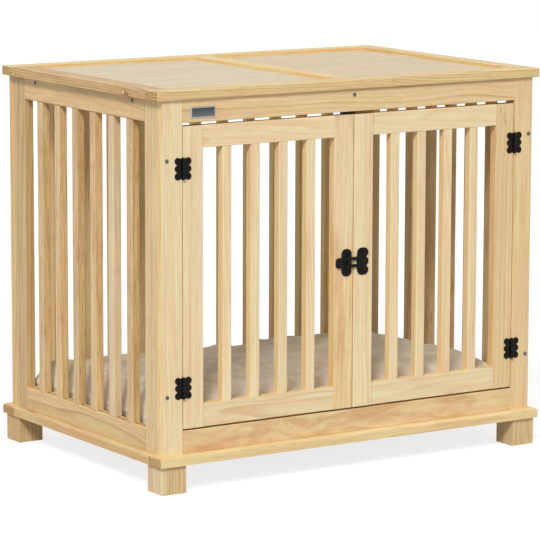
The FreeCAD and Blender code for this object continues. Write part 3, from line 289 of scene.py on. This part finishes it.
light = add(pine, "Math", {0: uneven.outputs[0], 1: given["Fleck"], 2: 1.0}, operation="MULTIPLY_ADD")
light = add(pine, "Math", {0: light.outputs[0], 1: given["Shade"]}, operation="MULTIPLY")
wood = add(pine, "VectorMath", {0: wood.outputs[2], "Scale": light.outputs[0]}, operation="SCALE")
print("fibres 4 x 70 mm, resin canals 1.8 x 30 mm")

# %% Close the group
rough = add(pine, "MapRange", {"Value": deep.outputs[0], "To Min": 0.62, "To Max": 0.5})
height = add(pine, "Math", {0: fibre.outputs[0], 1: 0.5, 2: deep.outputs[0]}, operation="MULTIPLY_ADD")
result = pine.nodes.new("NodeGroupOutput").inputs
pine.links.new(wood.outputs[0], result["Colour"])
pine.links.new(rough.outputs[0], result["Roughness"])
pine.links.new(height.outputs[0], result["Height"])
print("nodes in the wood:", len(pine.nodes))

# %% [markdown]
# ## Sawing the boards
# Each board gets its own pith line: a point in millimetres from the board's middle, and a lean of a
# degree or two, since no board is cut quite parallel to its trunk. A Mapping node of the texture
# kind moves and turns space so that the pith becomes the Z axis. Slats that share one piece are
# told apart by where they stand, and each takes its own slice of the trunk.

# %% The tones of the boards
TONES = {
    "pale": ("#ecdfbf", "#cf9c62"),      # planed sapwood of the doors and the front left post
    "warm": ("#e5d1a8", "#bf8b50"),      # sapwood near the heart, at the front's rails and stiles
    "yellow": ("#e5d5ab", "#b88a4c"),    # sapwood with more resin, on the tabletop's frame and the base
    "tan": ("#dcc69c", "#a87844"),       # heartwood at the sides
    "straw": ("#dfcba6", "#ac7d4c"),     # paler heartwood, in the side slats and the front stiles
    "brown": ("#d4be96", "#90622f"),     # the dull heartwood of the feet and the back stiles
    "orange": ("#e6cfa6", "#bf8a54"),    # patchy heartwood, at the front's bottom rail
    "panel": ("#d6cfbb", "#bdad88"),     # thin glued panels, cut from even sapwood
    "warm panel": ("#d5c9b1", "#b9a67c"),
}
TURN = {"x": (90, "Y"), "y": (-90, "X"), "z": (0, "Z")}    # degrees and axis that bring the grain upright
print("tones:", ", ".join(TONES))

# %% Make one board's material
def pine_board(node, tone, grain, pith, lean=(0.8, 0.5), ring=5.5, waver=22, depth=0.8, count=(1, 1, 1),
               width=18, shade=1.0, fleck=0.3, uneven=0.06, blotch=0.12, edge=0.5, swells=(), marks_and_painted_light=()):
    """Lengths in millimetres, lean in degrees, count is how many pieces the node has along x, y and z.

    swells holds (centre, size, push): the rings bend round a knot that was sawn away beside the board.
    marks holds (centre, size, colour, strength): knots, resin pockets, scars, paler or darker wood, and
    painted light and shade on the feet's left faces.
    """
    low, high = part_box(node)
    seed = float(sum(ord(letter) * (place + 3) for place, letter in enumerate(node)) % 97)
    material, tree, shader = finish_named("planed_pine_" + node, IOR=1.5)
    here = place = add(tree, "TexCoord").outputs["Object"]
    middle = (low + high) / 2
    if max(count) > 1:
        if width is None:    # staves glued edge to edge
            width = (high.y - low.y) * 1000 / count[1]
        half = width / 2000
        pitch = [(high[i] - low[i] - 2 * half) / (count[i] - 1) if count[i] > 1 else 50.0 for i in range(3)]
        start = [low[i] + half - pitch[i] / 2 if count[i] > 1 else low[i] - 1.0 for i in range(3)]
        middle = Vector([low[i] + half if count[i] > 1 else middle[i] for i in range(3)])
        which = add(tree, "Mapping", {"Vector": place, "Location": start, "Scale": pitch}, vector_type="TEXTURE")
        which = add(tree, "VectorMath", {0: which.outputs[0]}, operation="FLOOR")
        back = add(tree, "VectorMath", {0: which.outputs[0], 1: [-p for p in pitch], 2: place},
                   operation="MULTIPLY_ADD")
        moved = add(tree, "VectorMath", {0: which.outputs[0], 1: (seed, seed, seed)}, operation="ADD")
        chance = add(tree, "TexWhiteNoise", {"Vector": moved.outputs[0]}, noise_dimensions="3D")
        cut = add(tree, "VectorMath", {0: chance.outputs["Color"], 1: (0.5, 0.5, 0.5)}, operation="SUBTRACT")
        reach = [1.6 if axis == grain else 0.075 for axis in "xyz"]    # metres of trunk they come from
        place = add(tree, "VectorMath", {0: cut.outputs[0], 1: reach, 2: back.outputs[0]},
                    operation="MULTIPLY_ADD").outputs[0]
        shade = add(tree, "MapRange", {"Value": chance.outputs["Value"], "To Min": (1 - uneven) * shade,
                                       "To Max": (1 + uneven) * shade}).outputs[0]
    for centre, size, push in swells:
        near = add(tree, "Mapping", {"Vector": here, "Location": [v / 1000 for v in centre],
                                     "Scale": [v / 1000 for v in size]}, vector_type="TEXTURE")
        near = add(tree, "VectorMath", {0: near.outputs[0], 1: near.outputs[0]}, operation="DOT_PRODUCT")
        near = add(tree, "Math", {0: near.outputs["Value"], 1: -1.0}, operation="MULTIPLY")
        near = add(tree, "Math", {0: near.outputs[0]}, operation="EXPONENT")
        place = add(tree, "VectorMath", {0: near.outputs[0], 1: [-v / 1000 for v in push], 2: place},
                    operation="MULTIPLY_ADD").outputs[0]
    heart = middle + Vector(pith) / 1000
    from_grain = Matrix.Rotation(math.radians(TURN[grain][0]), 3, TURN[grain][1])
    tilt = Matrix.Rotation(math.radians(lean[0]), 3, "X") @ Matrix.Rotation(math.radians(lean[1]), 3, "Y")
    turn = (from_grain @ tilt).to_euler()
    trunk = add(tree, "Mapping", {"Vector": place, "Location": heart, "Rotation": turn}, vector_type="TEXTURE")
    early, late = TONES[tone]
    wants = {"Place": trunk.outputs[0], "Seed": seed, "Ring width": ring / 1000, "Waver": waver / 1000,
             "Depth": depth, "Early": linear(early), "Late": linear(late), "Shade": shade, "Fleck": fleck,
             "Blotch": blotch}
    sides = dict(zip("xyz", high - low))
    thick = min((axis for axis in "xyz" if axis != grain), key=sides.get)
    normal = add(tree, "TexCoord").outputs["Normal"]
    # End darkens the end grain; the edge amount tints the narrow edges yellower, partly their grain and partly painted
    # warm bounce light
    for name, amount, facing in (("End", 1.0, grain), ("Edge", edge, "xyz".replace(grain, "").replace(thick, ""))):
        faces = add(tree, "VectorMath", {0: normal, 1: [float(axis == facing) for axis in "xyz"]},
                    operation="DOT_PRODUCT")
        faces = add(tree, "Math", {0: faces.outputs["Value"]}, operation="ABSOLUTE")
        wants[name] = add(tree, "MapRange", {"Value": faces.outputs[0], "From Min": 0.6, "From Max": 0.95,
                                             "To Max": amount}).outputs[0]
    wood = add(tree, "Group", wants, node_tree=pine)
    colour = wood.outputs["Colour"]
    # each mark blends its colour in round its centre; most are the wood's own marks, the feet's are painted light and
    # shade
    for centre, size, hex_colour, strength in marks_and_painted_light:
        near = add(tree, "Mapping", {"Vector": here, "Location": [v / 1000 for v in centre],
                                     "Scale": [v / 1000 for v in size]}, vector_type="TEXTURE")
        near = add(tree, "VectorMath", {0: near.outputs[0]}, operation="LENGTH")
        near = add(tree, "MapRange", {"Value": near.outputs["Value"], "From Min": 1.0, "From Max": 0.4,
                                      "To Max": strength}, interpolation_type="SMOOTHSTEP")
        colour = add(tree, "Mix", {0: near.outputs[0], 6: colour, 7: linear(hex_colour)},
                     data_type="RGBA").outputs[2]
    tree.links.new(colour, shader.inputs["Base Color"])
    tree.links.new(wood.outputs["Roughness"], shader.inputs["Roughness"])
    bump = add(tree, "Bump", {"Strength": 0.4, "Distance": 0.0004, "Height": wood.outputs["Height"]})
    tree.links.new(bump.outputs[0], shader.inputs["Normal"])
    return material

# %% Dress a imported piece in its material
def dress(node, material):
    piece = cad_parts[node]
    piece.data.materials.clear()
    piece.data.materials.append(material)

# %% [markdown]
# ### The cabin's frames
# The posts and rails are 17 mm boards. The front left post is cut beside the pith and shows straight
# pale stripes, the front's bottom rail is patchy heartwood, and the side rails show long waves. Each
# board gets an entry in a table, so that a change of its tone or cut is a change of one number.

# %% Front and back frames
BOARDS = {
    "front_left_post": dict(tone="pale", grain="z", pith=(58, 42, 0), lean=(0.5, 0.3), ring=6.5, depth=0.62,
                            waver=26, fleck=0.18),
    "front_right_post": dict(tone="warm", grain="z", pith=(-50, 60, 0), lean=(0.5, -0.4), ring=7.5, depth=0.42,
                             fleck=0.18),
    "front_top_rail": dict(tone="warm", grain="x", pith=(0, 24, -26), lean=(0.3, 1.7), ring=6, depth=0.7,
                           waver=30, fleck=0.18, swells=[((240, -266, 640), (90, 60, 30), (0, 0, 9))],
                           marks_and_painted_light=[((97, -266, 647), (2.4, 3, 1.3), "#8a5f38", 0.7)]),
    "front_bottom_rail": dict(tone="orange", grain="x", pith=(0, 20, 2), lean=(0.9, 1.2), ring=7, depth=0.4,
                              waver=40, fleck=0.2, blotch=0.5, shade=0.98,
                              swells=[((-220, -266, 92), (48, 60, 30), (0, 12, 6)),
                                      ((-105, -266, 96), (40, 60, 30), (0, -10, -8)),
                                      ((160, -266, 88), (70, 60, 30), (0, 9, 8))]),
    "back_left_post": dict(tone="tan", grain="z", pith=(50, -50, 0)),
    "back_right_post": dict(tone="tan", grain="z", pith=(-45, -50, 0)),
    "back_top_rail": dict(tone="tan", grain="x", pith=(0, -40, 40)),
    "back_bottom_rail": dict(tone="yellow", grain="x", pith=(0, -40, -40)),
    "back_slats": dict(tone="yellow", grain="z", pith=(45, 45, 0), count=(11, 1, 1), depth=0.6),
}
for node, cut in BOARDS.items():
    dress(node, pine_board(node, **cut))
print("front and back boards:", len(BOARDS))

# %% The two sides
SIDES = {}
for side, out in (("left", 1), ("right", -1)):
    SIDES[side + "_side_front_stile"] = dict(tone="straw", grain="z", pith=(44 * out, 52, 0), ring=6, depth=0.6,
                                             shade=1.01, waver=26)
    SIDES[side + "_side_back_stile"] = dict(tone="brown", grain="z", pith=(40 * out, -52, 0), ring=9, depth=0.8,
                                            shade=0.92)
    SIDES[side + "_side_top_rail"] = dict(tone="tan", grain="y", pith=(26 * out, 0, 10), lean=(1.2, 0.6), depth=0.6,
                                          ring=5, waver=34, fleck=0.3, shade=1.03)
    SIDES[side + "_side_bottom_rail"] = dict(tone="tan", grain="y", pith=(24 * out, 0, -32), lean=(1.6, 0.8), ring=5.5,
                                             waver=38, depth=0.8, shade=0.97)
    SIDES[side + "_side_slats"] = dict(tone="straw", grain="z", pith=(50 * out, 45, 0), count=(1, 6, 1), depth=0.6,
                                       ring=6, fleck=0.55, uneven=0.07, blotch=0.3, shade=0.94)
    SIDES[side + "_top_cleat"] = dict(tone="tan", grain="y", pith=(30, 0, 40))
streaks = [(-159.4, 603, 4), (-162, 593, 9), (-169.9, 585, 4), (-160.5, 577, 5), (-160.3, 557, 5), (-167, 553, 5)]
SIDES["left_side_slats"]["marks_and_painted_light"] = [
    *(((-387.5, y, z), (2.5, 1.5, tall), "#7d5a36", 0.75) for y, z, tall in streaks),
    ((-380, -99, 365), (30, 22, 420), "#ecdcbc", 0.45)]
for node, cut in SIDES.items():
    dress(node, pine_board(node, **cut))
print("side boards:", len(SIDES))

# %% [markdown]
# ### Doors, tabletop and base
# The doors are the palest boards. The tabletop's frame is resin yellow, with two thin panels of even
# sapwood inside it whose grain runs from side to side. The base boards lie flat under the cabin, so
# their ends show the rings as short dark arcs.

# %% The doors
DOORS = {}
for side, out in (("left", 1), ("right", -1)):
    DOORS[side + "_door_hinge_stile"] = dict(tone="pale" if side == "left" else "warm", grain="z",
                                             pith=(52 * out, 56, 0), lean=(0.4, 0.5), ring=6.5, depth=0.45,
                                             fleck=0.15, shade=1.0 if side == "left" else 0.97)
    DOORS[side + "_door_latch_stile"] = dict(tone="warm" if side == "left" else "pale", grain="z",
                                             pith=(-40 * out, 40, 0), lean=(0.9, 0.6), ring=6, depth=0.4, fleck=0.25,
                                             blotch=0.35 if side == "left" else 0.1,
                                             shade=1.04 if side == "left" else 1.0)
    DOORS[side + "_door_top_rail"] = dict(tone="pale", grain="x", pith=(0, 19, 12), lean=(1.0, 2.0), ring=5,
                                          depth=0.45, waver=32, fleck=0.15)
    DOORS[side + "_door_bottom_rail"] = dict(tone="pale", grain="x", pith=(0, 17, -8), lean=(1.5, 2.6), ring=5,
                                             depth=0.65, waver=34, fleck=0.15, shade=0.96)
    DOORS[side + "_door_slats"] = dict(tone="pale", grain="z", pith=(40, 40, 0), count=(4, 1, 1), depth=0.5, ring=5,
                                       uneven=0.04, blotch=0.15, fleck=0.15)
DOORS["left_door_top_rail"]["marks_and_painted_light"] = [((-304, -266, 600), (17, 20, 6), "#d3a066", 0.4)]
DOORS["left_door_top_rail"]["shade"] = 1.03
DOORS["left_door_latch_stile"]["marks_and_painted_light"] = [((-21, -266, 520), (40, 30, 180), "#efdfbf", 0.4)]
DOORS["left_door_bottom_rail"]["swells"] = [((-250, -266, 120), (80, 60, 30), (0, 0, 9))]
streaks = [(316.5, 614, 10), (324.8, 603, 12), (327.5, 592, 8)]
DOORS["right_door_hinge_stile"]["marks_and_painted_light"] = [((x, -266, z), (1.6, 3, tall), "#8d7a58", 0.6) for x, z, tall in streaks]
for node, cut in DOORS.items():
    dress(node, pine_board(node, **cut))
print("door boards:", len(DOORS))

# %% The tabletop, the base and the feet
FLAT = {
    "tabletop_front_rail": dict(tone="yellow", grain="x", pith=(0, -14, -34), lean=(0.4, 1.0), ring=4.5, waver=16,
                                edge=0.3, shade=0.97, swells=[((72, -271, 676), (60, 40, 30), (0, 0, 7))]),
    "tabletop_back_rail": dict(tone="yellow", grain="x", pith=(0, -26, -28), lean=(0.6, 0.8), ring=5, waver=16,
                               edge=0.8, depth=0.6),
    "tabletop_left_rail": dict(tone="brown", grain="y", pith=(-13, 0, -30), lean=(0.9, 0.5), ring=5, waver=20,
                               depth=1.0, edge=0.3, fleck=0.5, shade=0.97,
                               marks_and_painted_light=[((-400, -162, 675), (4, 10, 6), "#8f6233", 0.9),
                                      ((-400, -159, 675.8), (3, 4.4, 3.6), "#ecd8b4", 1.0),
                                      ((-400, -173, 673), (3, 5, 3.4), "#5f4023", 0.9),
                                      ((-400, -184, 675), (3, 7, 3), "#b98a55", 0.6)]),
    "tabletop_middle_rail": dict(tone="yellow", grain="y", pith=(20, 0, -40), lean=(0.6, 0.6), depth=0.6, edge=0.8),
    "tabletop_right_rail": dict(tone="yellow", grain="y", pith=(-22, 0, -30), lean=(1.0, 0.6), ring=4.5, edge=0.9,
                                shade=0.95),
    "tabletop_left_panel": dict(tone="panel", grain="x", pith=(0, 30, -120), lean=(0.2, 0.4), ring=7, uneven=0.02,
                                count=(1, 8, 1), width=None, depth=0.5, blotch=0, fleck=0.35),
    "tabletop_right_panel": dict(tone="warm panel", grain="x", pith=(0, 40, -110), lean=(-0.2, 0.3), ring=7,
                                 uneven=0.02, count=(1, 8, 1), width=None, depth=0.5, blotch=0, fleck=0.35),
    "base_front_board": dict(tone="yellow", grain="x", pith=(0, 22, -30), lean=(0.4, 0.5), ring=4.8, waver=16,
                             depth=0.7, edge=0.2),
    "base_back_board": dict(tone="tan", grain="x", pith=(0, 30, -28), lean=(0.6, 0.5), ring=5),
    "base_left_board": dict(tone="tan", grain="y", pith=(-14, 0, -32), lean=(0.8, 0.5), ring=4.6, waver=18, depth=0.9,
                            edge=0.3, shade=0.94),
    "base_right_board": dict(tone="tan", grain="y", pith=(-30, 0, -30), lean=(1.0, 0.6), ring=4),
    "floor_panel": dict(tone="panel", grain="x", pith=(0, 30, -60), ring=7, count=(1, 8, 1), width=None, uneven=0.03),
    "feet": dict(tone="brown", grain="z", pith=(50, 44, 0), lean=(0.8, 0.8), ring=4.4, count=(2, 2, 1), width=48,
                 depth=0.7, fleck=0.3, uneven=0.01, edge=0, shade=1.05,
                 # painted light and shade: the front foot's left face is painted paler, the back foot's left face
                 # darker
                 marks_and_painted_light=[((-395, -251, 24), (16, 60, 70), "#ead8b2", 0.45),
                        ((-395, 251, 24), (16, 60, 70), "#ab8555", 0.4)]),
}
for node, cut in FLAT.items():
    dress(node, pine_board(node, **cut))
print("flat boards and feet:", len(FLAT))

# %% [markdown]
# ## The black ironware
# Hinges and hasp are stamped from 1.2 to 1.5 mm sheet steel and dipped in black lacquer, which hides
# the metal, so the shader is a dielectric and not a metal. Dipping leaves a slightly orange-peeled
# skin of uneven thickness, which breaks the highlight into a soft glint.

# %% Black lacquer
lacquer, tree, shader = finish_named("black_lacquered_steel", IOR=1.45, Specular_IOR_Level=0.16)
place = add(tree, "TexCoord").outputs["Object"]
peel = add(tree, "TexNoise", {"Vector": place, "Scale": 1 / 0.0016, "Detail": 2.0})
thick = add(tree, "TexNoise", {"Vector": place, "Scale": 1 / 0.006, "Detail": 2.0})
tone = add(tree, "Mix", {0: thick.outputs[0], 6: linear("#0a0a09"), 7: linear("#151412")}, data_type="RGBA")
tree.links.new(tone.outputs[2], shader.inputs["Base Color"])
skin = add(tree, "MapRange", {"Value": thick.outputs[0], "To Min": 0.34, "To Max": 0.52})
tree.links.new(skin.outputs[0], shader.inputs["Roughness"])
bump = add(tree, "Bump", {"Strength": 0.35, "Distance": 0.0003, "Height": peel.outputs[0]})
tree.links.new(bump.outputs[0], shader.inputs["Normal"])
IRON = ["hinge_frame_leaves", "hinge_pins", "hinge_frame_screws", "catch_plate", "catch_stud", "hasp_plate", "hasp",
        "hasp_pin", "left_door_hinge_leaves", "right_door_hinge_leaves", "left_door_screws", "right_door_screws"]
for node in IRON:
    dress(node, lacquer)
print("black pieces:", len(IRON))

# %% [markdown]
# ## Screws, plate and stop
# The carcass screws are zinc plated steel, a bluish metal that is mottled by the passivating bath.
# The bare plate is satin steel with a bright rim round a darker brushed field; the field is painted
# lighter towards its bottom, a painted reflection of the white floor. Its brush lines are drawn 0.6 mm
# apart. The door stop is moulded black plastic with a fine grit.

# %% Zinc plated screws
zinc, tree, shader = finish_named("zinc_plated_steel", Metallic=1.0)
place = add(tree, "TexCoord").outputs["Object"]
mottle = add(tree, "TexNoise", {"Vector": place, "Scale": 1 / 0.0012, "Detail": 2.0})
tone = add(tree, "Mix", {0: mottle.outputs[0], 6: linear("#474d54"), 7: linear("#7d848b")}, data_type="RGBA")
tree.links.new(tone.outputs[2], shader.inputs["Base Color"])
skin = add(tree, "MapRange", {"Value": mottle.outputs[0], "To Min": 0.25, "To Max": 0.42})
tree.links.new(skin.outputs[0], shader.inputs["Roughness"])
dress("frame_screws", zinc)
print("zinc screws dressed")

# %% The bare plate
plate_low, plate_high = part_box("front_plate")
plate_middle = (plate_low + plate_high) / 2
satin, tree, shader = finish_named("satin_steel_plate", Metallic=1.0)
place = add(tree, "TexCoord").outputs["Object"]
away = add(tree, "VectorMath", {0: place, 1: plate_middle}, operation="SUBTRACT")
apart = add(tree, "SeparateXYZ", {0: away.outputs[0]})
across = add(tree, "Math", {0: apart.outputs["X"]}, operation="ABSOLUTE")
upright = add(tree, "Math", {0: apart.outputs["Z"]}, operation="ABSOLUTE")
half = (plate_high - plate_low) / 2
RIM = 0.0022
across = add(tree, "Math", {0: across.outputs[0], 1: half.x - RIM}, operation="GREATER_THAN")
upright = add(tree, "Math", {0: upright.outputs[0], 1: half.z - RIM}, operation="GREATER_THAN")
rim = add(tree, "Math", {0: across.outputs[0], 1: upright.outputs[0]}, operation="MAXIMUM")
# painted reflection: the field's colour is lighter at the bottom and darker at the top
painted_reflection_fade = add(tree, "MapRange", {"Value": apart.outputs["Z"], "From Min": -half.z, "From Max": half.z})
long = add(tree, "VectorMath", {0: place, 1: (1 / 0.02, 1, 1 / 0.0006)}, operation="MULTIPLY")
brushed = add(tree, "TexNoise", {"Vector": long.outputs[0], "Scale": 1.0, "Detail": 2.0})
field = add(tree, "Mix", {0: painted_reflection_fade.outputs[0], 6: linear("#73777a"), 7: linear("#3f4245")}, data_type="RGBA")
tone = add(tree, "Mix", {0: rim.outputs[0], 6: field.outputs[2], 7: linear("#b4b7b8")}, data_type="RGBA")
tree.links.new(tone.outputs[2], shader.inputs["Base Color"])
skin = add(tree, "MapRange", {"Value": brushed.outputs[0], "To Min": 0.25, "To Max": 0.5})
tree.links.new(skin.outputs[0], shader.inputs["Roughness"])
dress("front_plate", satin)
print("plate:", [round(v * 1000, 1) for v in plate_high - plate_low], "mm")

# %% The door stop
plastic, tree, shader = finish_named("moulded_black_plastic", Base_Color=linear("#1c1b1a"), IOR=1.49)
place = add(tree, "TexCoord").outputs["Object"]
grit = add(tree, "TexNoise", {"Vector": place, "Scale": 1 / 0.0008, "Detail": 1.0})
skin = add(tree, "MapRange", {"Value": grit.outputs[0], "To Min": 0.5, "To Max": 0.65})
tree.links.new(skin.outputs[0], shader.inputs["Roughness"])
dress("door_stop", plastic)
print("door stop dressed")

# %% [markdown]
# ## The cushion
# The cushion is two panels of brushed taupe cloth sewn together and stuffed. It could be a rounded
# box, but stuffing shows itself in three ways that a box lacks: the middle is crowned, the sides
# pull in between the corners, and the cloth gathers beside the seam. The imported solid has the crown
# and the drawn-in sides. A copy of it, made slightly smaller, is remeshed and inflated as cloth with
# its seam held, and then gets the folds that lie across such a cushion.

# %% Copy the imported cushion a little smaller
cushion_low, cushion_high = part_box("cushion")
SEAM = cushion_low.z + 0.030         # height of the seam
SMALLER = 0.007                      # what the copy gives up at each side before it is inflated
half_x, half_y = (cushion_high.x - cushion_low.x) / 2, (cushion_high.y - cushion_low.y) / 2
cushion_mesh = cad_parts["cushion"].data.copy()
cushion_mesh.name = "floor_cushion"
cushion = bpy.data.objects.new("floor_cushion", cushion_mesh)
scene.collection.objects.link(cushion)
for v in cushion.data.vertices:
    v.co.x *= 1 - SMALLER / half_x
    v.co.y *= 1 - SMALLER / half_y
    v.co.z -= 0.003 * (v.co.z > SEAM)
print("unstuffed cushion:", [round(v * 1000) for v in cushion.dimensions], "mm")

# %% Apply one modifier to a piece
def settle(piece, kind, **settings):
    modifier = piece.modifiers.new(kind.lower(), kind)
    for name, value in settings.items():
        setattr(modifier, name, value)
    bpy.context.view_layer.update()
    result = bpy.data.meshes.new_from_object(piece.evaluated_get(bpy.context.evaluated_depsgraph_get()))
    piece.modifiers.clear()
    piece.data = result

settle(cushion, "REMESH", mode="VOXEL", voxel_size=0.006, use_smooth_shade=True)
print("cloth faces:", len(cushion.data.polygons))

# %% Stuff it
def stuff(piece, pressure, frames, cap):
    """Inflates the piece as cloth with its seam held; no point moves further than cap."""
    rest = [v.co.copy() for v in piece.data.vertices]
    held = piece.vertex_groups.new(name="seam")
    held.add([i for i, co in enumerate(rest) if abs(co.z - SEAM) < 0.004], 1.0, "REPLACE")
    cloth = piece.modifiers.new("cloth", "CLOTH")
    cloth.settings.vertex_group_mass = "seam"
    cloth.settings.use_pressure = True
    cloth.settings.uniform_pressure_force = pressure
    cloth.settings.effector_weights.gravity = 0
    cloth.settings.quality = 5
    cloth.settings.shrink_min = -0.05
    cloth.settings.tension_stiffness = 12
    cloth.settings.compression_stiffness = 12
    cloth.settings.bending_stiffness = 0.4
    cloth.point_cache.frame_end = frames
    for number in range(1, frames + 1):
        scene.frame_set(number)
    blown = piece.evaluated_get(bpy.context.evaluated_depsgraph_get()).data
    moved = [v.co.copy() for v in blown.vertices]
    piece.modifiers.clear()
    scene.frame_set(1)
    for v, start, end in zip(piece.data.vertices, rest, moved):
        step = end - start
        v.co = start + step * min(1.0, cap / max(step.length, 1e-9))
    piece.vertex_groups.clear()

stuff(cushion, pressure=4.0, frames=20, cap=0.007)
print("top of the cushion:", round(max(v.co.z for v in cushion.data.vertices) * 1000, 1), "mm")

# %% Lay it on the floor panel
FLOOR_GAP = 0.0006
for v in cushion.data.vertices:
    v.co.z = max(v.co.z, cushion_low.z + FLOOR_GAP)
settle(cushion, "SUBSURF", levels=1, render_levels=1)
print("cushion faces:", len(cushion.data.polygons))

# %% [markdown]
# A fold is a soft ridge along a line, highest where it starts. One long fold starts at the back and
# runs to the front left, and smaller ones cross the middle. Where the stuffing has shifted, the top
# has low humps and hollows, and two sizes of noise keep the rest from lying flat.

# %% Press the folds in
# each fold: start, end, height and width in mm; each hump: centre, reach and height in mm
FOLDS = [((160, 235), (-110, 20), 7.0, 11), ((262, 150), (30, 96), 5.5, 10), ((175, 60), (-30, -40), 5.0, 9),
         ((-40, -60), (-250, -110), 5.5, 10), ((330, -60), (150, -140), 5.5, 10), ((-120, 160), (-300, 40), 5.5, 11),
         ((60, 200), (-60, 130), 5.0, 9), ((300, 60), (190, -20), 5.0, 9), ((60, -90), (-120, -170), 5.0, 10)]
HUMPS = [((40, 170), 60, -6.0), ((130, 165), 40, 4.0), ((245, 172), 60, -7.0), ((345, 0), 75, 9.0),
         ((340, -110), 70, 8.0), ((-350, 215), 50, 15.0), ((-270, -150), 90, -3.0), ((210, -20), 80, -3.0)]
for v in cushion.data.vertices:
    top = min(1.0, max(0.0, (v.co.z - SEAM) / 0.03))
    flat = Vector((v.co.x, v.co.y)) * 1000
    rise = 0.0
    for start, end, height, width in FOLDS:
        start, run = Vector(start), Vector(end) - Vector(start)
        along = min(1.0, max(0.0, (flat - start).dot(run) / run.length_squared))
        beside = (flat - start - run * along).length
        rise += height * math.exp(-(beside / width) ** 2) * (1 - 0.6 * along)
    for centre, reach, height in HUMPS:
        rise += height * math.exp(-((flat - Vector(centre)).length / reach) ** 2)
    rise += 2.6 * noise.noise(Vector((flat.x / 75, flat.y / 75, 3.7)))
    rise += 1.5 * noise.noise(Vector((flat.x / 26, flat.y / 26, 8.1)))
    v.co.z += top * rise / 1000
print("folds:", len(FOLDS), "humps and hollows:", len(HUMPS))

# %% [markdown]
# The thread draws a groove along the seam, and short gathers stand on both sides of it. The corners
# are plump, since two layers of cloth meet there and the stuffing is pushed right in. The cushion
# stays between the crate's sides, and its top may stand 8 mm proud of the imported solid.

# %% Sew the seam and fill the corners
PROUD = 0.008
for v in cushion.data.vertices:
    edge = max(abs(v.co.x) / half_x, abs(v.co.y) / half_y)
    outward = Vector((v.co.x, v.co.y, 0)).normalized()
    if edge > 0.85 and v.co.z > cushion_low.z + 0.004:
        beside = math.exp(-abs(v.co.z - SEAM) / 0.016)
        gather = noise.noise(Vector((v.co.x / 0.016, v.co.y / 0.016, 1.3))) * 0.0022
        groove = -0.0024 * math.exp(-((v.co.z - SEAM) / 0.0024) ** 2)
        v.co += outward * (gather * beside + groove)
    corner = Vector((math.copysign(half_x, v.co.x), math.copysign(half_y, v.co.y)))
    plump = math.exp(-((Vector((v.co.x, v.co.y)) - corner).length / 0.09) ** 2)
    v.co += Vector((corner.x / half_x, corner.y / half_y, 0)) * 0.012 * plump
    v.co.x = max(-half_x, min(half_x, v.co.x))
    v.co.y = max(-half_y, min(half_y, v.co.y))
    v.co.z = min(v.co.z, cushion_high.z + PROUD)
for face in cushion.data.polygons:
    face.use_smooth = True
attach(cushion, "crate")
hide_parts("cushion")
print("cushion:", [round(v * 1000) for v in cushion.dimensions], "mm")

# %% [markdown]
# The cover is a brushed plain weave of polyester in taupe. Its threads are about 0.5 mm, too fine to
# show, so they are drawn 2.4 mm apart, and the colour is darkened where they dip as painted shade
# between the threads. The brushed nap scatters light at the edges, which is sheen, and leaves the soft
# lighter and darker patches that a hand leaves on such cloth.

# %% Brushed taupe cloth
# a Wave texture repeats every 0.314 / Scale metres
cloth, tree, shader = finish_named("brushed_taupe_weave", Roughness=0.9, IOR=1.46, Sheen_Weight=0.35,
                                   Sheen_Roughness=0.45, Specular_IOR_Level=0.2)
shader.inputs["Sheen Tint"].default_value = linear("#f4ead8")
place = add(tree, "TexCoord").outputs["Object"]
THREAD = 0.0024
WAVES = {"Vector": place, "Scale": 0.314 / THREAD, "Distortion": 0.6, "Detail": 1.0, "Detail Scale": 8.0}
warp = add(tree, "TexWave", WAVES, bands_direction="X")
weft = add(tree, "TexWave", WAVES, bands_direction="Y")
weave = add(tree, "Math", {0: warp.outputs[1], 1: weft.outputs[1]}, operation="MULTIPLY")
nap = add(tree, "TexNoise", {"Vector": place, "Scale": 1 / 0.035, "Detail": 3.0})
fuzz = add(tree, "TexNoise", {"Vector": place, "Scale": 1 / 0.0015, "Detail": 2.0})
nap = add(tree, "MapRange", {"Value": nap.outputs[0], "From Min": 0.34, "From Max": 0.66})
tone = add(tree, "Mix", {0: nap.outputs[0], 6: linear("#dfd1b9"), 7: linear("#f3e8d5")}, data_type="RGBA")
# painted shade: the colour is darkened in the hollows between the threads
deep = add(tree, "MapRange", {"Value": weave.outputs[0], "To Min": 0.9, "To Max": 1.02})
shaded = add(tree, "VectorMath", {0: tone.outputs[2], "Scale": deep.outputs[0]}, operation="SCALE")
tree.links.new(shaded.outputs[0], shader.inputs["Base Color"])
relief = add(tree, "Math", {0: fuzz.outputs[0], 1: 0.6, 2: weave.outputs[0]}, operation="MULTIPLY_ADD")
bump = add(tree, "Bump", {"Strength": 0.5, "Distance": 0.0006, "Height": relief.outputs[0]})
tree.links.new(bump.outputs[0], shader.inputs["Normal"])
cushion.data.materials.clear()
cushion.data.materials.append(cloth)
print("thread spacing as drawn:", THREAD * 1000, "mm")
